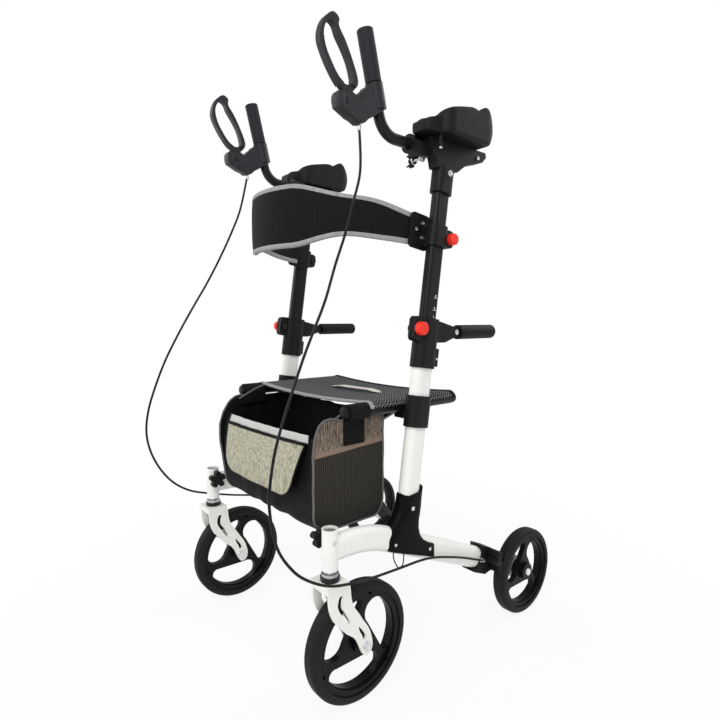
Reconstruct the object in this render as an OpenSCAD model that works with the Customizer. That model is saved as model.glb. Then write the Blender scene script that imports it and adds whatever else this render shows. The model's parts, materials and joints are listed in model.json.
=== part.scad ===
// Upright walker with forearm troughs: two side frames on four wheels, joined by a cross brace
// that folds sideways under a cloth seat. Lengths in mm, +Z up, front toward -Y, left side at +X.

/* [Stance] */
// Distance between the two side frames, tube centre to tube centre
track_w = 494; // [484:1:520]
// Length over the front and rear wheels
overall_l = 722; // [710:1:740]
// Distance of the front axle behind the swivel axis
caster_trail = 64; // [58:1:68]
// Lean of the posts toward the rear, in degrees
post_lean = 8.2; // [7.8:0.1:8.6]
// Distance of the swivel axis in front of the seat's middle
head_front = 310; // [304:1:316]
// Distance of the post foot in front of the middle
post_setback = 124; // [120:1:128]
// Radius of the bend between front arm and rear leg
arch_r = 250; // [240:2:260]
// Length of the level arm behind the swivel axis
arm_l = 39.5; // [37:0.5:42]

/* [Wheels] */
// Diameter of the front wheels
front_wheel_d = 230; // [226:1:234]
// Width of the front tyres
front_tyre_w = 34; // [30:1:36]
// Diameter of the rear wheels
rear_wheel_d = 206; // [200:1:210]
// Width of the rear tyres
rear_tyre_w = 32; // [28:1:36]
// Radial height of the tyres
tyre_h = 17; // [14:1:19]
// Gap between rear leg and rear tyre
rear_wheel_gap = 8; // [7.5:0.5:12]
// Diameter of the front axles
front_axle_d = 8; // [7:0.5:10]
// Diameter of the rear axles
rear_axle_d = 10; // [8:0.5:12]
// Diameter of the wheel hubs
hub_d = 40; // [36:1:44]

/* [Casters] */
// Diameter of the swivel stem
stem_d = 16; // [14:0.5:17]
// Outside diameter of the head tube
head_tube_d = 30; // [27:1:34]
// Length of the head tube
head_tube_h = 76; // [72:1:84]
// Height of the lower end of the head tube
head_z = 274; // [272:1:277]
// Width over the fork legs
fork_w = 54; // [52:1:58]
// Thickness of a fork leg
fork_t = 5; // [4:0.5:6]
// Top of the fork crown
crown_z = 255; // [254:0.5:256]
// Thickness of the fork crown
crown_t = 15; // [12:1:17]
// Height of the bearing collar
collar_h = 14; // [12:1:15]

/* [Frame tubes] */
// Height of the base tube
base_tube_h = 50; // [46:1:54]
// Width of the base tube
base_tube_w = 26; // [24:1:28]
// Wall of the tubes
tube_wall = 2; // [1.5:0.1:2.5]
// Width of the outer post
post_w = 29; // [28:0.5:30]
// Depth of the outer post
post_d = 48; // [47:0.5:50]
// Upper end of the outer post, along the post
post_top = 386; // [380:1:392]
// Width of the inner post
inner_w = 22; // [20:0.5:23]
// Depth of the inner post
inner_d = 38; // [36:0.5:40]
// Corner radius of the inner post
inner_r = 8; // [6:0.5:9]
// Lower end of the inner post, along the post
inner_foot = 210; // [180:5:250]
// Length of the inner post inside the forearm bracket
inner_seat = 46; // [40:1:50]

/* [Seat and brace] */
// Height of the seat rails
rail_z = 546; // [542:1:550]
// Distance of the seat rails inside the frame plane
rail_inset = 39; // [38.5:0.1:40]
// Diameter of the seat rails
rail_d = 26; // [24:0.5:28]
// Front end of the seat rails, in front of the middle
rail_front = 240; // [230:1:250]
// Rear end of the seat rails, behind the middle
rail_rear = 65; // [55:1:75]
// Height of the lower brace pivots
pivot_z = 305; // [303:1:308]
// Distance of the lower brace pivots inside the frame plane
pivot_inset = 35; // [34.5:0.1:36]
// Distance of the brace in front of the middle
brace_front = 118; // [116:1:120]
// Height of the brace bars
bar_h = 25; // [22:1:26]
// Thickness of the brace bars
bar_t = 12; // [10:0.5:12]
// Diameter of the brace pivot pins
pivot_d = 10; // [8:0.5:12]
// Distance of the bag's sides inside the seat rails
bag_inset = 9; // [8:0.5:10]
// Depth of the cloth bag
bag_l = 170; // [160:1:176]
// Height of the cloth bag
bag_h = 206; // [195:1:208]
// Length of the seat cloth
seat_l = 244; // [230:1:260]
// Sag of the seat cloth
seat_sag = 9; // [4:0.5:12]

/* [Hand and arm rests] */
// Distance of the handlebars inside the frame plane
bar_inset = 31; // [30.5:0.1:33]
// Diameter of the handlebars
bar_d = 22; // [20:0.5:23]
// Height of the level part of the handlebars
bar_z = 1077; // [1075:1:1078]
// Radius of the handlebar bend
bar_bend_r = 45; // [40:1:50]
// Forward lean of the grips, in degrees
grip_lean = 14; // [10:0.5:18]
// Diameter of the hand grips
grip_d = 31; // [29:0.5:33]
// Length of the hand grips
grip_l = 92; // [84:1:100]
// Length of the forearm pads
pad_l = 172; // [166:1:180]
// Width of the forearm pads
pad_w = 96; // [92:1:104]
// Radius of the forearm trough
trough_r = 36; // [32:1:38]
// Length of the push grips
push_l = 112; // [100:1:125]
// Diameter of the push grips
push_d = 31; // [28:0.5:34]
// Forward bow of the backrest band
bow = 224; // [205:1:235]
// Height of the backrest band in the middle
band_h = 126; // [110:1:134]
// Thickness of the backrest padding
band_t = 15; // [10:0.5:18]

/* [Knobs, levers and cables] */
// Diameter of the red height knobs
height_knob_d = 27; // [26:0.5:34]
// Diameter of the red backrest knobs
backrest_knob_d = 24; // [20:0.5:26]
// Diameter of the star knobs
star_d = 42; // [36:0.5:44]
// Diameter of the clamp screws
screw_d = 8; // [6:0.5:9]
// Thickness of a brake lever loop
lever_w = 14; // [12:0.5:18]
// Gap between brake shoe and rear tyre
shoe_gap = 2.5; // [2.2:0.1:3.5]
// Diameter of the brake cables
cable_d = 5; // [4:0.25:5]

/* [Hidden] */
$fn = 48;

frame_white = [0.93, 0.93, 0.90];
trim_black = [0.08, 0.08, 0.09];
rubber = [0.05, 0.05, 0.05];
steel = [0.72, 0.72, 0.74];
knob_red = [0.85, 0.12, 0.08];
cloth_tan = [0.50, 0.44, 0.36];
cloth_dark = [0.16, 0.15, 0.15];

// Running clearances and the overrun of the cuts
run_clear = 0.3;
side_clear = 0.5;
slide_clear = 0.35;
over = 1;
tube_step = 0.2;

// Frame stations: the leg is the tangent from the rear axle to the bend behind the level arm
frame_x = track_w/2;
head_y = -head_front;
front_axle_y = head_y + caster_trail;
front_axle_z = front_wheel_d/2;
front_end = front_axle_y - front_wheel_d/2;
rear_axle_y = front_end + overall_l - rear_wheel_d/2;
rear_axle_z = rear_wheel_d/2;
centre_y = front_end + overall_l/2;
arm_up = 37.96;
arm_z = head_z + arm_up;
arch_start_y = head_y + arm_l;
to_axle = [rear_axle_y - arch_start_y, rear_axle_z - arm_z + arch_r];
leg_slope = atan2(to_axle[0], to_axle[1]) - acos(arch_r/norm(to_axle));
arch_end_y = arch_start_y + arch_r*sin(leg_slope);
arch_end_z = leg_z(arch_end_y);
leg_len = (rear_axle_y - arch_end_y)/cos(leg_slope);
post_foot_y = -post_setback;
post_foot_z = leg_z(post_foot_y);
rear_wheel_x = base_tube_w/2 + rear_wheel_gap + rear_tyre_w/2;
brace_y = -brace_front;
rail_x = frame_x - rail_inset;
pivot_x = frame_x - pivot_inset;

// Sizes that follow from the ones above or are not meant to be changed
post_lift = 2;
post_s0 = (base_tube_h/2 + post_lift + post_d/2*sin(leg_slope - post_lean))/cos(leg_slope - post_lean);
sleeve_t = 4.5;
spacer_d = 18;
axle_head_d = 16;
axle_head_t = 4;
drain_d = 6;
plug_depth = 12;
star_up = 53;
stem_short = 11;
stem_room = 3;
star_z = head_z + star_up;
stem_reach = star_z - stem_short;
star_t = 14;
star_gap = 5;
star_lobe_d = 13;
bracket_w = 36;
bracket_l = 132;
bracket_h = 158;
bracket_lead = 6;
socket_t = 3.5;
socket_top = 106;
socket_dip_r = 42;
socket_dip = 5;
ear_d = 24;
ear_in = 16;
ear_t = 5;
housing_w = 36;
housing_l = 74;
housing_h = 62;
housing_back = 164;
brake_pin_d = 8;
brake_back = 24;
brake_lift = 22;
brake_hub_d = 18;
brake_w = 28;
shoe_t = 11;
shoe_h = 26;
shoe_drop = 16;
cradle_drop = 40.7;
cradle_s = post_s(rail_z - cradle_drop);
cradle_h = 64;
saddle_t = 14;
saddle_l = 26;
saddle_lip = 16;
saddle_clear = 0.4;
clamp_rise = 24;
clamp_s = post_top + clamp_rise;
clamp_h = 50;
collar_lap = 28;
collar_s = post_top - collar_lap;
plate_x = 5;
plate_t = 18;
plate_front = 47;
plate_r = 10;
slit_w = 2;
clamp_screw_y = 36;
clevis_y = 80;
clevis_d = 20;
tongue_t = 8;
neck_l = 13;
flange_l = 9;
sleeve_h = 44;
sleeve_wall = 5;
ears_x = 3;
ears_t = 16;
ears_rear = 43;
ears_screw_y = 33;
strap_x = 22;
strap_t = 4;
strap_l = 56;
strap_h = 72;
strap_top = 20;
knob_h = 14;
knob_gap = 2.2;
knob_round = 4;
screw_head_t = 5;
forearm_h = 52;
rest_l = 186;
rest_h = 60;
rest_w = 24;
ring_d = 38;
ring_l = 32;
ring_y = -70;
bend_y = -122;
bar_rear = 45;
grip_wall_top = 4;
grip_start = 58;
bar_up = grip_start + grip_l - grip_wall_top;
hood_t = 24;
hood_ring_d = 34;
hood_ring_s = 10;
hood_ring_h = 46;
lever_z = 1117;
lever_y = -243;
lever_pin_d = 8;
lever_tongue = 9;
lever_hub_d = 17;
lever_h = 140;
lever_l = 97;
lever_gap_r = 30;
pad_z = 1088;
forearm_drop = 106.6;
forearm_s = post_s(pad_z - forearm_drop);
inner_top = forearm_s + inner_seat;
pad_h = 72;
pad_gap = 0.3;
seat_t = 3;
wrap_r = rail_d/2 + run_clear;
seat_lip = 2;
seat_front = 182;
bag_w = 2*(rail_x - bag_inset);
bag_front = 308;
bag_z = 322;
bag_wall = 4;
hang_l = 52;
hang_t = 2.5;
hang_front = 238;
hang_drop = 60;
band_end_t = 5;
band_x = frame_x - strap_x - strap_t/2 - band_end_t/2 - run_clear;
band_y = -66;
band_straight = 26;
band_z = 908;
sleeve_drop = 35.5;
sleeve_s = post_s(band_z - sleeve_drop);
band_rise = 23;
band_end_h = 52;
band_power = 0.65;

// Outlines as shares of the sizes they follow
bracket_shares = [[0.24, 0.42], [0.32, 0.19], [0.38, 0.05], [0.49, -0.02], [0.67, -0.08], [0.67, -0.26],
    [0.33, -0.19], [-0.11, -0.05], [-0.31, 0.03], [-0.295, 0.19], [-0.29, 0.34], [-0.24, 0.46],
        [-0.02, 0.48]];
housing_shares = [[0.02, 0.50], [0.13, 0.24], [0.16, 0.00], [0.09, -0.26], [-0.06, -0.50], [0.55, -0.50],
    [0.92, -0.22], [1.00, 0.00], [0.93, 0.20], [0.56, 0.50]];
fork_shares = [[0.33, 0.61], [0.39, 0.38], [0.53, 0.15], [0.67, -0.09], [0.82, -0.33], [0.90, -0.55],
    [0.94, -0.76], [0.91, -0.91], [0.83, -1.00], [0.73, -1.00], [0.65, -0.91], [0.58, -0.76],
    [0.50, -0.56], [0.39, -0.40], [0.19, -0.22], [0.02, -0.00], [-0.14, 0.20], [-0.22, 0.41],
    [-0.26, 0.62], [-0.27, 0.81], [-0.29, 0.98], [-0.25, 1.02], [0.23, 1.02], [0.27, 0.98], [0.31, 0.83]];
front_slot_shares = [[0.00, 0.71], [0.07, 0.74], [0.12, 0.69], [0.09, 0.57], [0.09, 0.41], [0.18, 0.27],
    [0.26, 0.11], [0.30, -0.00], [0.26, -0.02], [0.17, 0.10], [0.07, 0.27], [0.00, 0.39], [-0.04, 0.53]];
rear_slot_shares = [[0.54, -0.19], [0.64, -0.32], [0.72, -0.45], [0.75, -0.54], [0.71, -0.59],
    [0.66, -0.55], [0.63, -0.44], [0.56, -0.31]];
rest_shares = [[-0.12, -0.97], [-0.15, -0.63], [-0.21, -0.43], [-0.22, 0.00], [0.72, 0.00], [0.73, -0.17],
    [0.66, -0.37], [0.36, -0.65], [0.21, -0.97]];
pad_shares = [[-0.43, 0.02], [-0.465, 0.12], [-0.45, 0.36], [-0.38, 0.42], [-0.33, 0.50], [-0.27, 0.66],
    [0.00, 0.84], [0.33, 0.98], [0.47, 0.98], [0.54, 0.76], [0.55, 0.20], [0.51, 0.02], [0.04, 0.00]];
hood_shares = [[-0.12, 0.06], [0.03, 0.10], [0.21, 0.05], [0.39, 0.11], [0.53, 0.22], [0.65, 0.34],
    [0.76, 0.36], [0.80, 0.20], [0.82, 0.02], [0.69, -0.05], [0.55, -0.12], [0.41, -0.18], [0.34, -0.23],
    [0.24, -0.23], [0.14, -0.16], [-0.03, -0.11]];
loop_shares = [[-0.39, 0.99], [-0.59, 0.85], [-0.67, 0.64], [-0.57, 0.46], [-0.41, 0.29], [-0.24, 0.16],
    [-0.05, 0.08], [0.11, 0.14], [0.21, 0.27], [0.08, 0.50], [-0.09, 0.71], [-0.24, 0.85], [-0.24, 0.95]];
eye_shares = [[-0.47, 0.88], [-0.58, 0.73], [-0.54, 0.55], [-0.41, 0.39], [-0.25, 0.25], [-0.07, 0.19],
    [0.09, 0.24], [0.03, 0.44], [-0.11, 0.61], [-0.26, 0.75], [-0.34, 0.86]];
bag_shares = [[0.00, 0.00], [0.00, 1.00], [-0.62, 1.00], [-0.88, 0.93], [-1.00, 0.80], [-1.00, 0.10],
    [-0.92, 0.00]];

// Cable routes, set by hand along the hanging loops
cable_left = [[216, -215, 1083], [218, -214, 1000], [222, -236, 934], [225, -256, 878], [229, -282, 820],
    [233, -307, 758], [238, -335, 706], [243, -362, 656], [250, -393, 592], [257, -421, 530],
        [263, -436, 486],
    [270, -446, 430], [278, -438, 364], [283, -412, 319], [286, -382, 292], [286, -340, 269],
        [284, -292, 256],
    [279, -238, 246], [273, -160, 237], [270, -100, 232], [269, -56, 225], [269, -4, 210], [269, 48, 192],
    [268, 92, 174], [268, 120, 163]];
cable_right = [[-216, -215, 1083], [-219, -232, 1000], [-223, -262, 942], [-227, -294, 870],
    [-231, -325, 808],
    [-235, -350, 762], [-240, -386, 698], [-246, -420, 630], [-252, -445, 564], [-257, -460, 510],
    [-262, -464, 460], [-268, -454, 412], [-274, -431, 364], [-280, -398, 322], [-285, -357, 292],
    [-286, -314, 275], [-284, -270, 262], [-279, -220, 250], [-273, -160, 239], [-270, -100, 232],
    [-269, -56, 225], [-269, -4, 210], [-269, 48, 192], [-268, 92, 174], [-268, 120, 163]];

function leg_z(y) = rear_axle_z + (rear_axle_y - y)*tan(leg_slope);
function post_s(z) = (z - post_foot_z)/cos(post_lean);
function on_size(shares, y0, z0, l, h) = [for (s = shares) [y0 + s[0]*l, z0 + s[1]*h]];
function between(a, b, c, d, t) =
    (2*b + (c - a)*t + (2*a - 5*b + 4*c - d)*t*t + (3*b - a - 3*c + d)*t*t*t)/2;
function ring_curve(p, n) = [for (i = [0:len(p) - 1], k = [0:n - 1])
    between(p[(i + len(p) - 1)%len(p)], p[i], p[(i + 1)%len(p)], p[(i + 2)%len(p)], k/n)];
function path_curve(p, n) = concat([for (i = [0:len(p) - 2], k = [0:n - 1])
    between(p[max(i - 1, 0)], p[i], p[i + 1], p[min(i + 2, len(p) - 1)], k/n)], [p[len(p) - 1]]);
function seat_at(x) = rail_z + wrap_r - seat_sag*(1 - pow(x/rail_x, 2));
function unit(v) = v/norm(v);
function quads(rings, sides) = concat(
    [[for (j = [0:sides - 1]) sides - 1 - j]],
    [for (i = [0:rings - 2], j = [0:sides - 1])
        [i*sides + j, i*sides + (j + 1)%sides, (i + 1)*sides + (j + 1)%sides, (i + 1)*sides + j]],
    [[for (j = [0:sides - 1]) (rings - 1)*sides + j]]);

module centred() translate([0, -centre_y, 0]) children();
module on_right() mirror([1, 0, 0]) children();
module at_frame() translate([frame_x, 0, 0]) children();
module on_post(s) translate([0, post_foot_y, post_foot_z]) rotate([-post_lean, 0, 0]) translate([0, 0, s])
    children();
module on_leg() translate([0, arch_end_y, arch_end_z]) rotate([-leg_slope, 0, 0]) children();
module side_plate(t) rotate([90, 0, 90]) linear_extrude(t, center = true) children();
module across(d, l) rotate([0, 90, 0]) cylinder(d = d, h = l, center = true);
module along(d, l) rotate([-90, 0, 0]) cylinder(d = d, h = l);

module stadium(w, h) {
    square([w, h - w], center = true);
    for (s = [-1, 1]) translate([0, s*(h - w)/2]) circle(d = w);
}

module rounded(w, h, r) {
    square([w - 2*r, h], center = true);
    square([w, h - 2*r], center = true);
    for (a = [-1, 1], b = [-1, 1]) translate([a*(w/2 - r), b*(h/2 - r)]) circle(r);
}

module tube_along(points, d, sides) {
    n = len(points);
    rings = [for (i = [0:n - 1])
        let (t = unit(points[min(i + 1, n - 1)] - points[max(i - 1, 0)]), u = unit(cross(t, [1, 0, 0])),
            v = cross(t, u))
        for (j = [0:sides - 1]) points[i] + d/2*(cos(360*j/sides)*u + sin(360*j/sides)*v)];
    polyhedron(rings, quads(n, sides));
}

module leg_run(front, l, step = 0) on_leg() translate([0, -front, 0]) rotate([-90, 0, 0])
    linear_extrude(l + front)
    stadium(base_tube_w - 2*step, base_tube_h - 2*step);

module arch_run(clear = 0) translate([0, arch_start_y, arm_z - arch_r]) rotate([0, -90, 0])
    rotate_extrude(angle = leg_slope) translate([arch_r, 0]) rotate(90)
        stadium(base_tube_w + 2*clear, base_tube_h + 2*clear);

module knob_head(d, h) rotate([0, 90, 0]) rotate_extrude() intersection() {
    square([d, h]);
    union() {
        square([d/2 - knob_round, h]);
        square([d/2, h - knob_round]);
        translate([d/2 - knob_round, h - knob_round]) circle(knob_round);
    }
}

module base_tube() color(frame_white) at_frame() difference() {
    union() {
        translate([0, head_y, arm_z]) rotate([-90, 0, 0]) linear_extrude(arch_start_y - head_y + tube_step)
            stadium(base_tube_w - 2*tube_step, base_tube_h - 2*tube_step);
        arch_run();
        leg_run(tube_step, leg_len, tube_step);
        translate([0, rear_axle_y, rear_axle_z]) across(base_tube_h + 2*tube_wall, base_tube_w + tube_wall);
        translate([0, head_y, head_z]) cylinder(d = head_tube_d, h = head_tube_h);
        translate([0, rear_axle_y, rear_axle_z]) rotate([0, 90, 0]) {
            cylinder(d = spacer_d, h = base_tube_w/2 + rear_wheel_gap - side_clear);
            cylinder(d = rear_axle_d, h = rear_wheel_x + rear_tyre_w/2 + side_clear + axle_head_t);
            translate([0, 0, rear_wheel_x + rear_tyre_w/2 + side_clear])
                cylinder(d = axle_head_d, h = axle_head_t);
        }
    }
    on_leg() rotate([-90, 0, 0]) linear_extrude(leg_len - base_tube_h/2)
        stadium(base_tube_w - 2*tube_wall, base_tube_h - 2*tube_wall);
    on_leg() translate([0, leg_len - base_tube_h, -base_tube_h/2 - over])
        cylinder(d = drain_d, h = base_tube_h/2);
    translate([0, head_y, head_z - over])
        cylinder(d = stem_d + 2*run_clear, h = stem_reach + stem_room - head_z + over);
    translate([0, head_y, head_z + head_tube_h - plug_depth])
        cylinder(d = head_tube_d - 2*tube_wall, h = plug_depth + over);
    translate([0, head_y, star_z]) across(screw_d + 2*run_clear, head_tube_d + 2*over);
}

module lower_bracket() color(trim_black) at_frame() {
    difference() {
        union() {
            side_plate(bracket_w) polygon(on_size(bracket_shares, post_foot_y, post_foot_z, bracket_l,
                bracket_h));
            on_post(post_s0 - over) linear_extrude(socket_top - post_s0 + over)
                stadium(post_w + 2*socket_t, post_d + 2*socket_t);
            for (s = [-1, 1]) translate([0, brace_y + s*(ear_in + ear_t/2), pivot_z])
                rotate([90, 0, 0]) linear_extrude(ear_t, center = true) {
                    translate([-pivot_inset, 0]) circle(d = ear_d);
                    translate([-pivot_inset, -ear_d/2]) square([pivot_inset - base_tube_w/2, ear_d]);
                }
        }
        leg_run(bracket_lead, leg_len);
        arch_run(tube_step);
        on_post(post_s0) linear_extrude(bracket_h) stadium(post_w, post_d);
        on_post(socket_top + socket_dip_r - socket_dip) across(2*socket_dip_r, 2*bracket_w);
    }
    translate([-pivot_inset, brace_y - ear_in - ear_t - over, pivot_z])
        along(pivot_d, 2*(ear_in + ear_t + over));
}

module wheel_bracket() color(trim_black) at_frame() {
    difference() {
        on_leg() side_plate(housing_w)
            polygon(on_size(housing_shares, leg_len - housing_back, 0, housing_l, housing_h));
        leg_run(over, leg_len);
    }
    on_leg() translate([housing_w/2 - over, leg_len - rear_axle_z - brake_back, brake_lift])
        rotate([0, 90, 0])
        cylinder(d = brake_pin_d, h = over + 2*side_clear + brake_w + over);
}

module brake_arm() color(trim_black) at_frame() on_leg()
    translate([housing_w/2 + side_clear + brake_w/2, 0, 0]) side_plate(brake_w) difference() {
        brake_u = leg_len - rear_axle_z - brake_back;
        union() {
            translate([brake_u, brake_lift]) circle(d = brake_hub_d);
            translate([brake_u + brake_hub_d/2 - shoe_t, shoe_h - shoe_drop])
                square([shoe_t, brake_lift - shoe_h + shoe_drop]);
            translate([leg_len - rear_axle_z - shoe_gap - shoe_t, -shoe_drop]) square([2*shoe_t, shoe_h]);
            translate([brake_u - brake_hub_d/4, shoe_h/2 - shoe_drop])
                square([brake_back - shoe_gap, shoe_h/2]);
        }
        translate([leg_len, 0]) circle(d = rear_wheel_d + 2*shoe_gap);
        translate([brake_u, brake_lift]) circle(d = brake_pin_d + 2*run_clear);
    }

module outer_post() color(frame_white) at_frame() on_post(post_s0) linear_extrude(post_top - post_s0)
    difference() {
    stadium(post_w, post_d);
    stadium(post_w - 2*tube_wall, post_d - 2*tube_wall);
}

module inner_post() color(trim_black) at_frame() on_post(inner_foot) linear_extrude(inner_top - inner_foot)
    difference() {
    rounded(inner_w, inner_d, inner_r);
    rounded(inner_w - 2*tube_wall, inner_d - 2*tube_wall, inner_r - tube_wall);
}

module seat_cradle() color(trim_black) at_frame() {
    saddle_y = post_foot_y + (rail_z - post_foot_z)*tan(post_lean);
    difference() {
        union() {
            on_post(cradle_s) linear_extrude(cradle_h) stadium(post_w + 2*sleeve_t, post_d + 2*sleeve_t);
            translate([-rail_inset - saddle_lip, saddle_y - saddle_l/2, rail_z - rail_d/2 - saddle_t])
                cube([rail_inset + saddle_lip - post_w/2, saddle_l, rail_d/2 + saddle_t]);
        }
        on_post(0) linear_extrude(post_top) stadium(post_w, post_d);
        translate([-rail_inset, saddle_y - saddle_l, rail_z]) along(rail_d + 2*saddle_clear, 2*saddle_l);
    }
}

module post_clamp() color(trim_black) at_frame() on_post(0) {
    clevis_s = clamp_s + 0.64*clamp_h;
    difference() {
        union() {
            translate([0, 0, collar_s]) linear_extrude(clamp_s + clamp_h - collar_s)
                stadium(post_w + 2*sleeve_t, post_d + 2*sleeve_t);
            translate([plate_x, 0, 0]) side_plate(plate_t) {
                translate([(post_d/2 - plate_front)/2, clamp_s + clamp_h/2])
                    rounded(plate_front + post_d/2, clamp_h, plate_r);
                polygon([[0, clamp_s], [0, clamp_s + clamp_h], [clevis_y, clevis_s + clevis_d/2],
                    [clevis_y, clevis_s - clevis_d/2], [post_d, clamp_s + clamp_h/8]]);
                translate([clevis_y, clevis_s]) circle(d = clevis_d);
            }
        }
        translate([0, 0, collar_s - over]) linear_extrude(post_top - collar_s + over) stadium(post_w, post_d);
        linear_extrude(inner_top)
            rounded(inner_w + 2*slide_clear, inner_d + 2*slide_clear, inner_r + slide_clear);
        translate([plate_x - slit_w/2, -plate_front - over, clamp_s - over])
            cube([slit_w, plate_front - inner_d/2 + 2*over, clamp_h + 2*over]);
        translate([0, -clamp_screw_y, clamp_s + clamp_h/2]) across(screw_d + 2*run_clear, 2*post_d);
        translate([plate_x - tongue_t/2 - side_clear, clevis_y - neck_l, clevis_s - clevis_d])
            cube([tongue_t + 2*side_clear, 2*clevis_d, 2*clevis_d]);
    }
    translate([plate_x, clevis_y, clevis_s]) across(screw_d, plate_t);
}

module push_handle() color(rubber) at_frame() difference() {
    clevis_s = clamp_s + 0.64*clamp_h;
    push_y = post_foot_y + clevis_s*sin(post_lean) + clevis_y*cos(post_lean);
    hub_z = post_foot_z + clevis_s*cos(post_lean) - clevis_y*sin(post_lean);
    translate([plate_x, push_y, hub_z]) difference() {
        union() {
            across(clevis_d - 2*side_clear, tongue_t);
            translate([-tongue_t/2, 0, -clevis_d/2 + side_clear])
                cube([tongue_t, neck_l + over, clevis_d - 2*side_clear]);
            translate([0, neck_l, 0]) along(push_d, flange_l);
            translate([0, neck_l + flange_l - over, 0]) along(push_d - 2*over, 2*over + over);
            translate([0, neck_l + flange_l + over, 0]) rotate([-90, 0, 0]) rotate_extrude() intersection() {
                square([push_d, push_l]);
                union() {
                    square([push_d/2 - knob_round, push_l]);
                    square([push_d/2, push_l - knob_round]);
                    translate([push_d/2 - knob_round, push_l - knob_round]) circle(knob_round);
                }
            }
        }
        across(screw_d + 2*run_clear, plate_t);
    }
}

module height_knob() color(knob_red) at_frame() on_post(clamp_s + clamp_h/2)
    translate([0, -clamp_screw_y, 0]) {
    translate([plate_x + plate_t/2 + knob_gap, 0, 0]) knob_head(height_knob_d, knob_h);
    translate([plate_x, 0, 0]) across(screw_d, plate_t + 2*knob_gap + 2*over);
    translate([plate_x - plate_t/2 - side_clear - screw_head_t/2, 0, 0]) across(2*screw_d, screw_head_t);
}

module backrest_sleeve() color(trim_black) at_frame() on_post(sleeve_s) difference() {
    union() {
        linear_extrude(sleeve_h) rounded(inner_w + 2*sleeve_wall, inner_d + 2*sleeve_wall,
            inner_r + sleeve_wall);
        translate([ears_x, 0, 0]) side_plate(ears_t) translate([ears_rear/2, sleeve_h/2])
            rounded(ears_rear, 0.82*sleeve_h, plate_r);
        translate([-strap_x, 0, 0]) side_plate(strap_t)
            translate([-strap_l/2, strap_top - strap_h/2 + sleeve_h])
            rounded(strap_l, strap_h, plate_r);
        translate([-strap_x, -inner_d/2, 0]) cube([strap_x - inner_w/2, inner_d/2, sleeve_h]);
    }
    translate([0, 0, -over]) linear_extrude(sleeve_h + 2*over)
        rounded(inner_w + 2*slide_clear, inner_d + 2*slide_clear, inner_r + slide_clear);
    translate([ears_x - slit_w/2, inner_d/2 - over, -over]) cube([slit_w, ears_rear, sleeve_h + 2*over]);
    translate([0, ears_screw_y, sleeve_h/2]) across(screw_d + 2*run_clear, 2*post_d);
}

module backrest_knob() color(knob_red) at_frame() on_post(sleeve_s + sleeve_h/2)
    translate([0, ears_screw_y, 0]) {
    translate([ears_x + ears_t/2 + side_clear, 0, 0]) knob_head(backrest_knob_d, knob_h);
    translate([ears_x, 0, 0]) across(screw_d, ears_t + 2*over);
    translate([ears_x - ears_t/2 - side_clear - screw_head_t/2, 0, 0]) across(2*screw_d, screw_head_t);
}

module star_knob() color(trim_black) at_frame() translate([0, head_y, star_z]) {
    lobe_r = (star_d - star_lobe_d)/2;
    translate([-head_tube_d/2 - star_gap - star_t/2, 0, 0]) side_plate(star_t) {
        circle(d = star_d - 1.3*star_lobe_d);
        for (a = [0:72:288]) rotate(a) {
            translate([0, lobe_r]) circle(d = star_lobe_d);
            translate([-0.4*star_lobe_d, 0]) square([0.8*star_lobe_d, lobe_r]);
        }
    }
    translate([-head_tube_d/2 - side_clear - star_gap/2, 0, 0]) across(2*screw_d, star_gap);
    translate([-star_gap, 0, 0]) across(screw_d, head_tube_d + star_gap);
}

module caster_fork() color(frame_white) at_frame() translate([0, head_y, 0]) difference() {
    reach = 1.12*(crown_z - front_axle_z);
    middle = front_axle_z + 0.43*(crown_z - front_axle_z);
    fork_l = 1.32*caster_trail;
    side_plate(fork_w) polygon(ring_curve(on_size(fork_shares, 0, middle, fork_l, reach/2), 3));
    translate([-fork_w/2 + fork_t, -caster_trail, 0])
        cube([fork_w - 2*fork_t, 3*caster_trail, crown_z - crown_t]);
    translate([0, 0, crown_z]) cylinder(d = 2*fork_w, h = crown_t);
    for (f = [front_slot_shares, rear_slot_shares]) side_plate(2*fork_w)
        polygon(ring_curve(on_size(f, 0, middle, fork_l, reach/2), 3));
    cylinder(d = stem_d, h = 2*crown_z);
    translate([0, caster_trail, front_axle_z]) across(front_axle_d, 2*fork_w);
}

module caster_pins() color(steel) at_frame() {
    translate([0, head_y, crown_z - crown_t]) cylinder(d = stem_d, h = stem_reach - crown_z + crown_t);
    translate([0, front_axle_y, front_axle_z]) {
        across(front_axle_d, fork_w + 2*over);
        for (s = [-1, 1]) translate([s*(fork_w/2 + axle_head_t/2), 0, 0]) across(axle_head_d, axle_head_t);
    }
}

module caster_collar() color(trim_black) at_frame() translate([0, head_y, crown_z]) difference() {
    union() {
        cylinder(d = 1.2*head_tube_d, h = 0.6*collar_h);
        cylinder(d = 1.06*head_tube_d, h = collar_h);
    }
    translate([0, 0, -over]) cylinder(d = stem_d, h = collar_h + 2*over);
}

module opening(r) {
    open_r = 0.757*r;
    big = 0.226*r;
    small = 0.113*r;
    c1 = (open_r - big)*[cos(50), sin(50)];
    c2 = (open_r - small)*[cos(-24), sin(-24)];
    way = atan2(c2[1] - c1[1], c2[0] - c1[0]) - acos((big - small)/norm(c2 - c1));
    t1 = c1 + 0.97*big*[cos(way), sin(way)];
    t2 = c2 + 0.97*small*[cos(way), sin(way)];
    translate(c1) circle(big);
    translate(c2) circle(small);
    intersection() {
        circle(0.99*open_r);
        polygon([c2, t2, t1, c1, 2*c1, 2*(c1 + c2), 2*c2]);
    }
}

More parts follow.
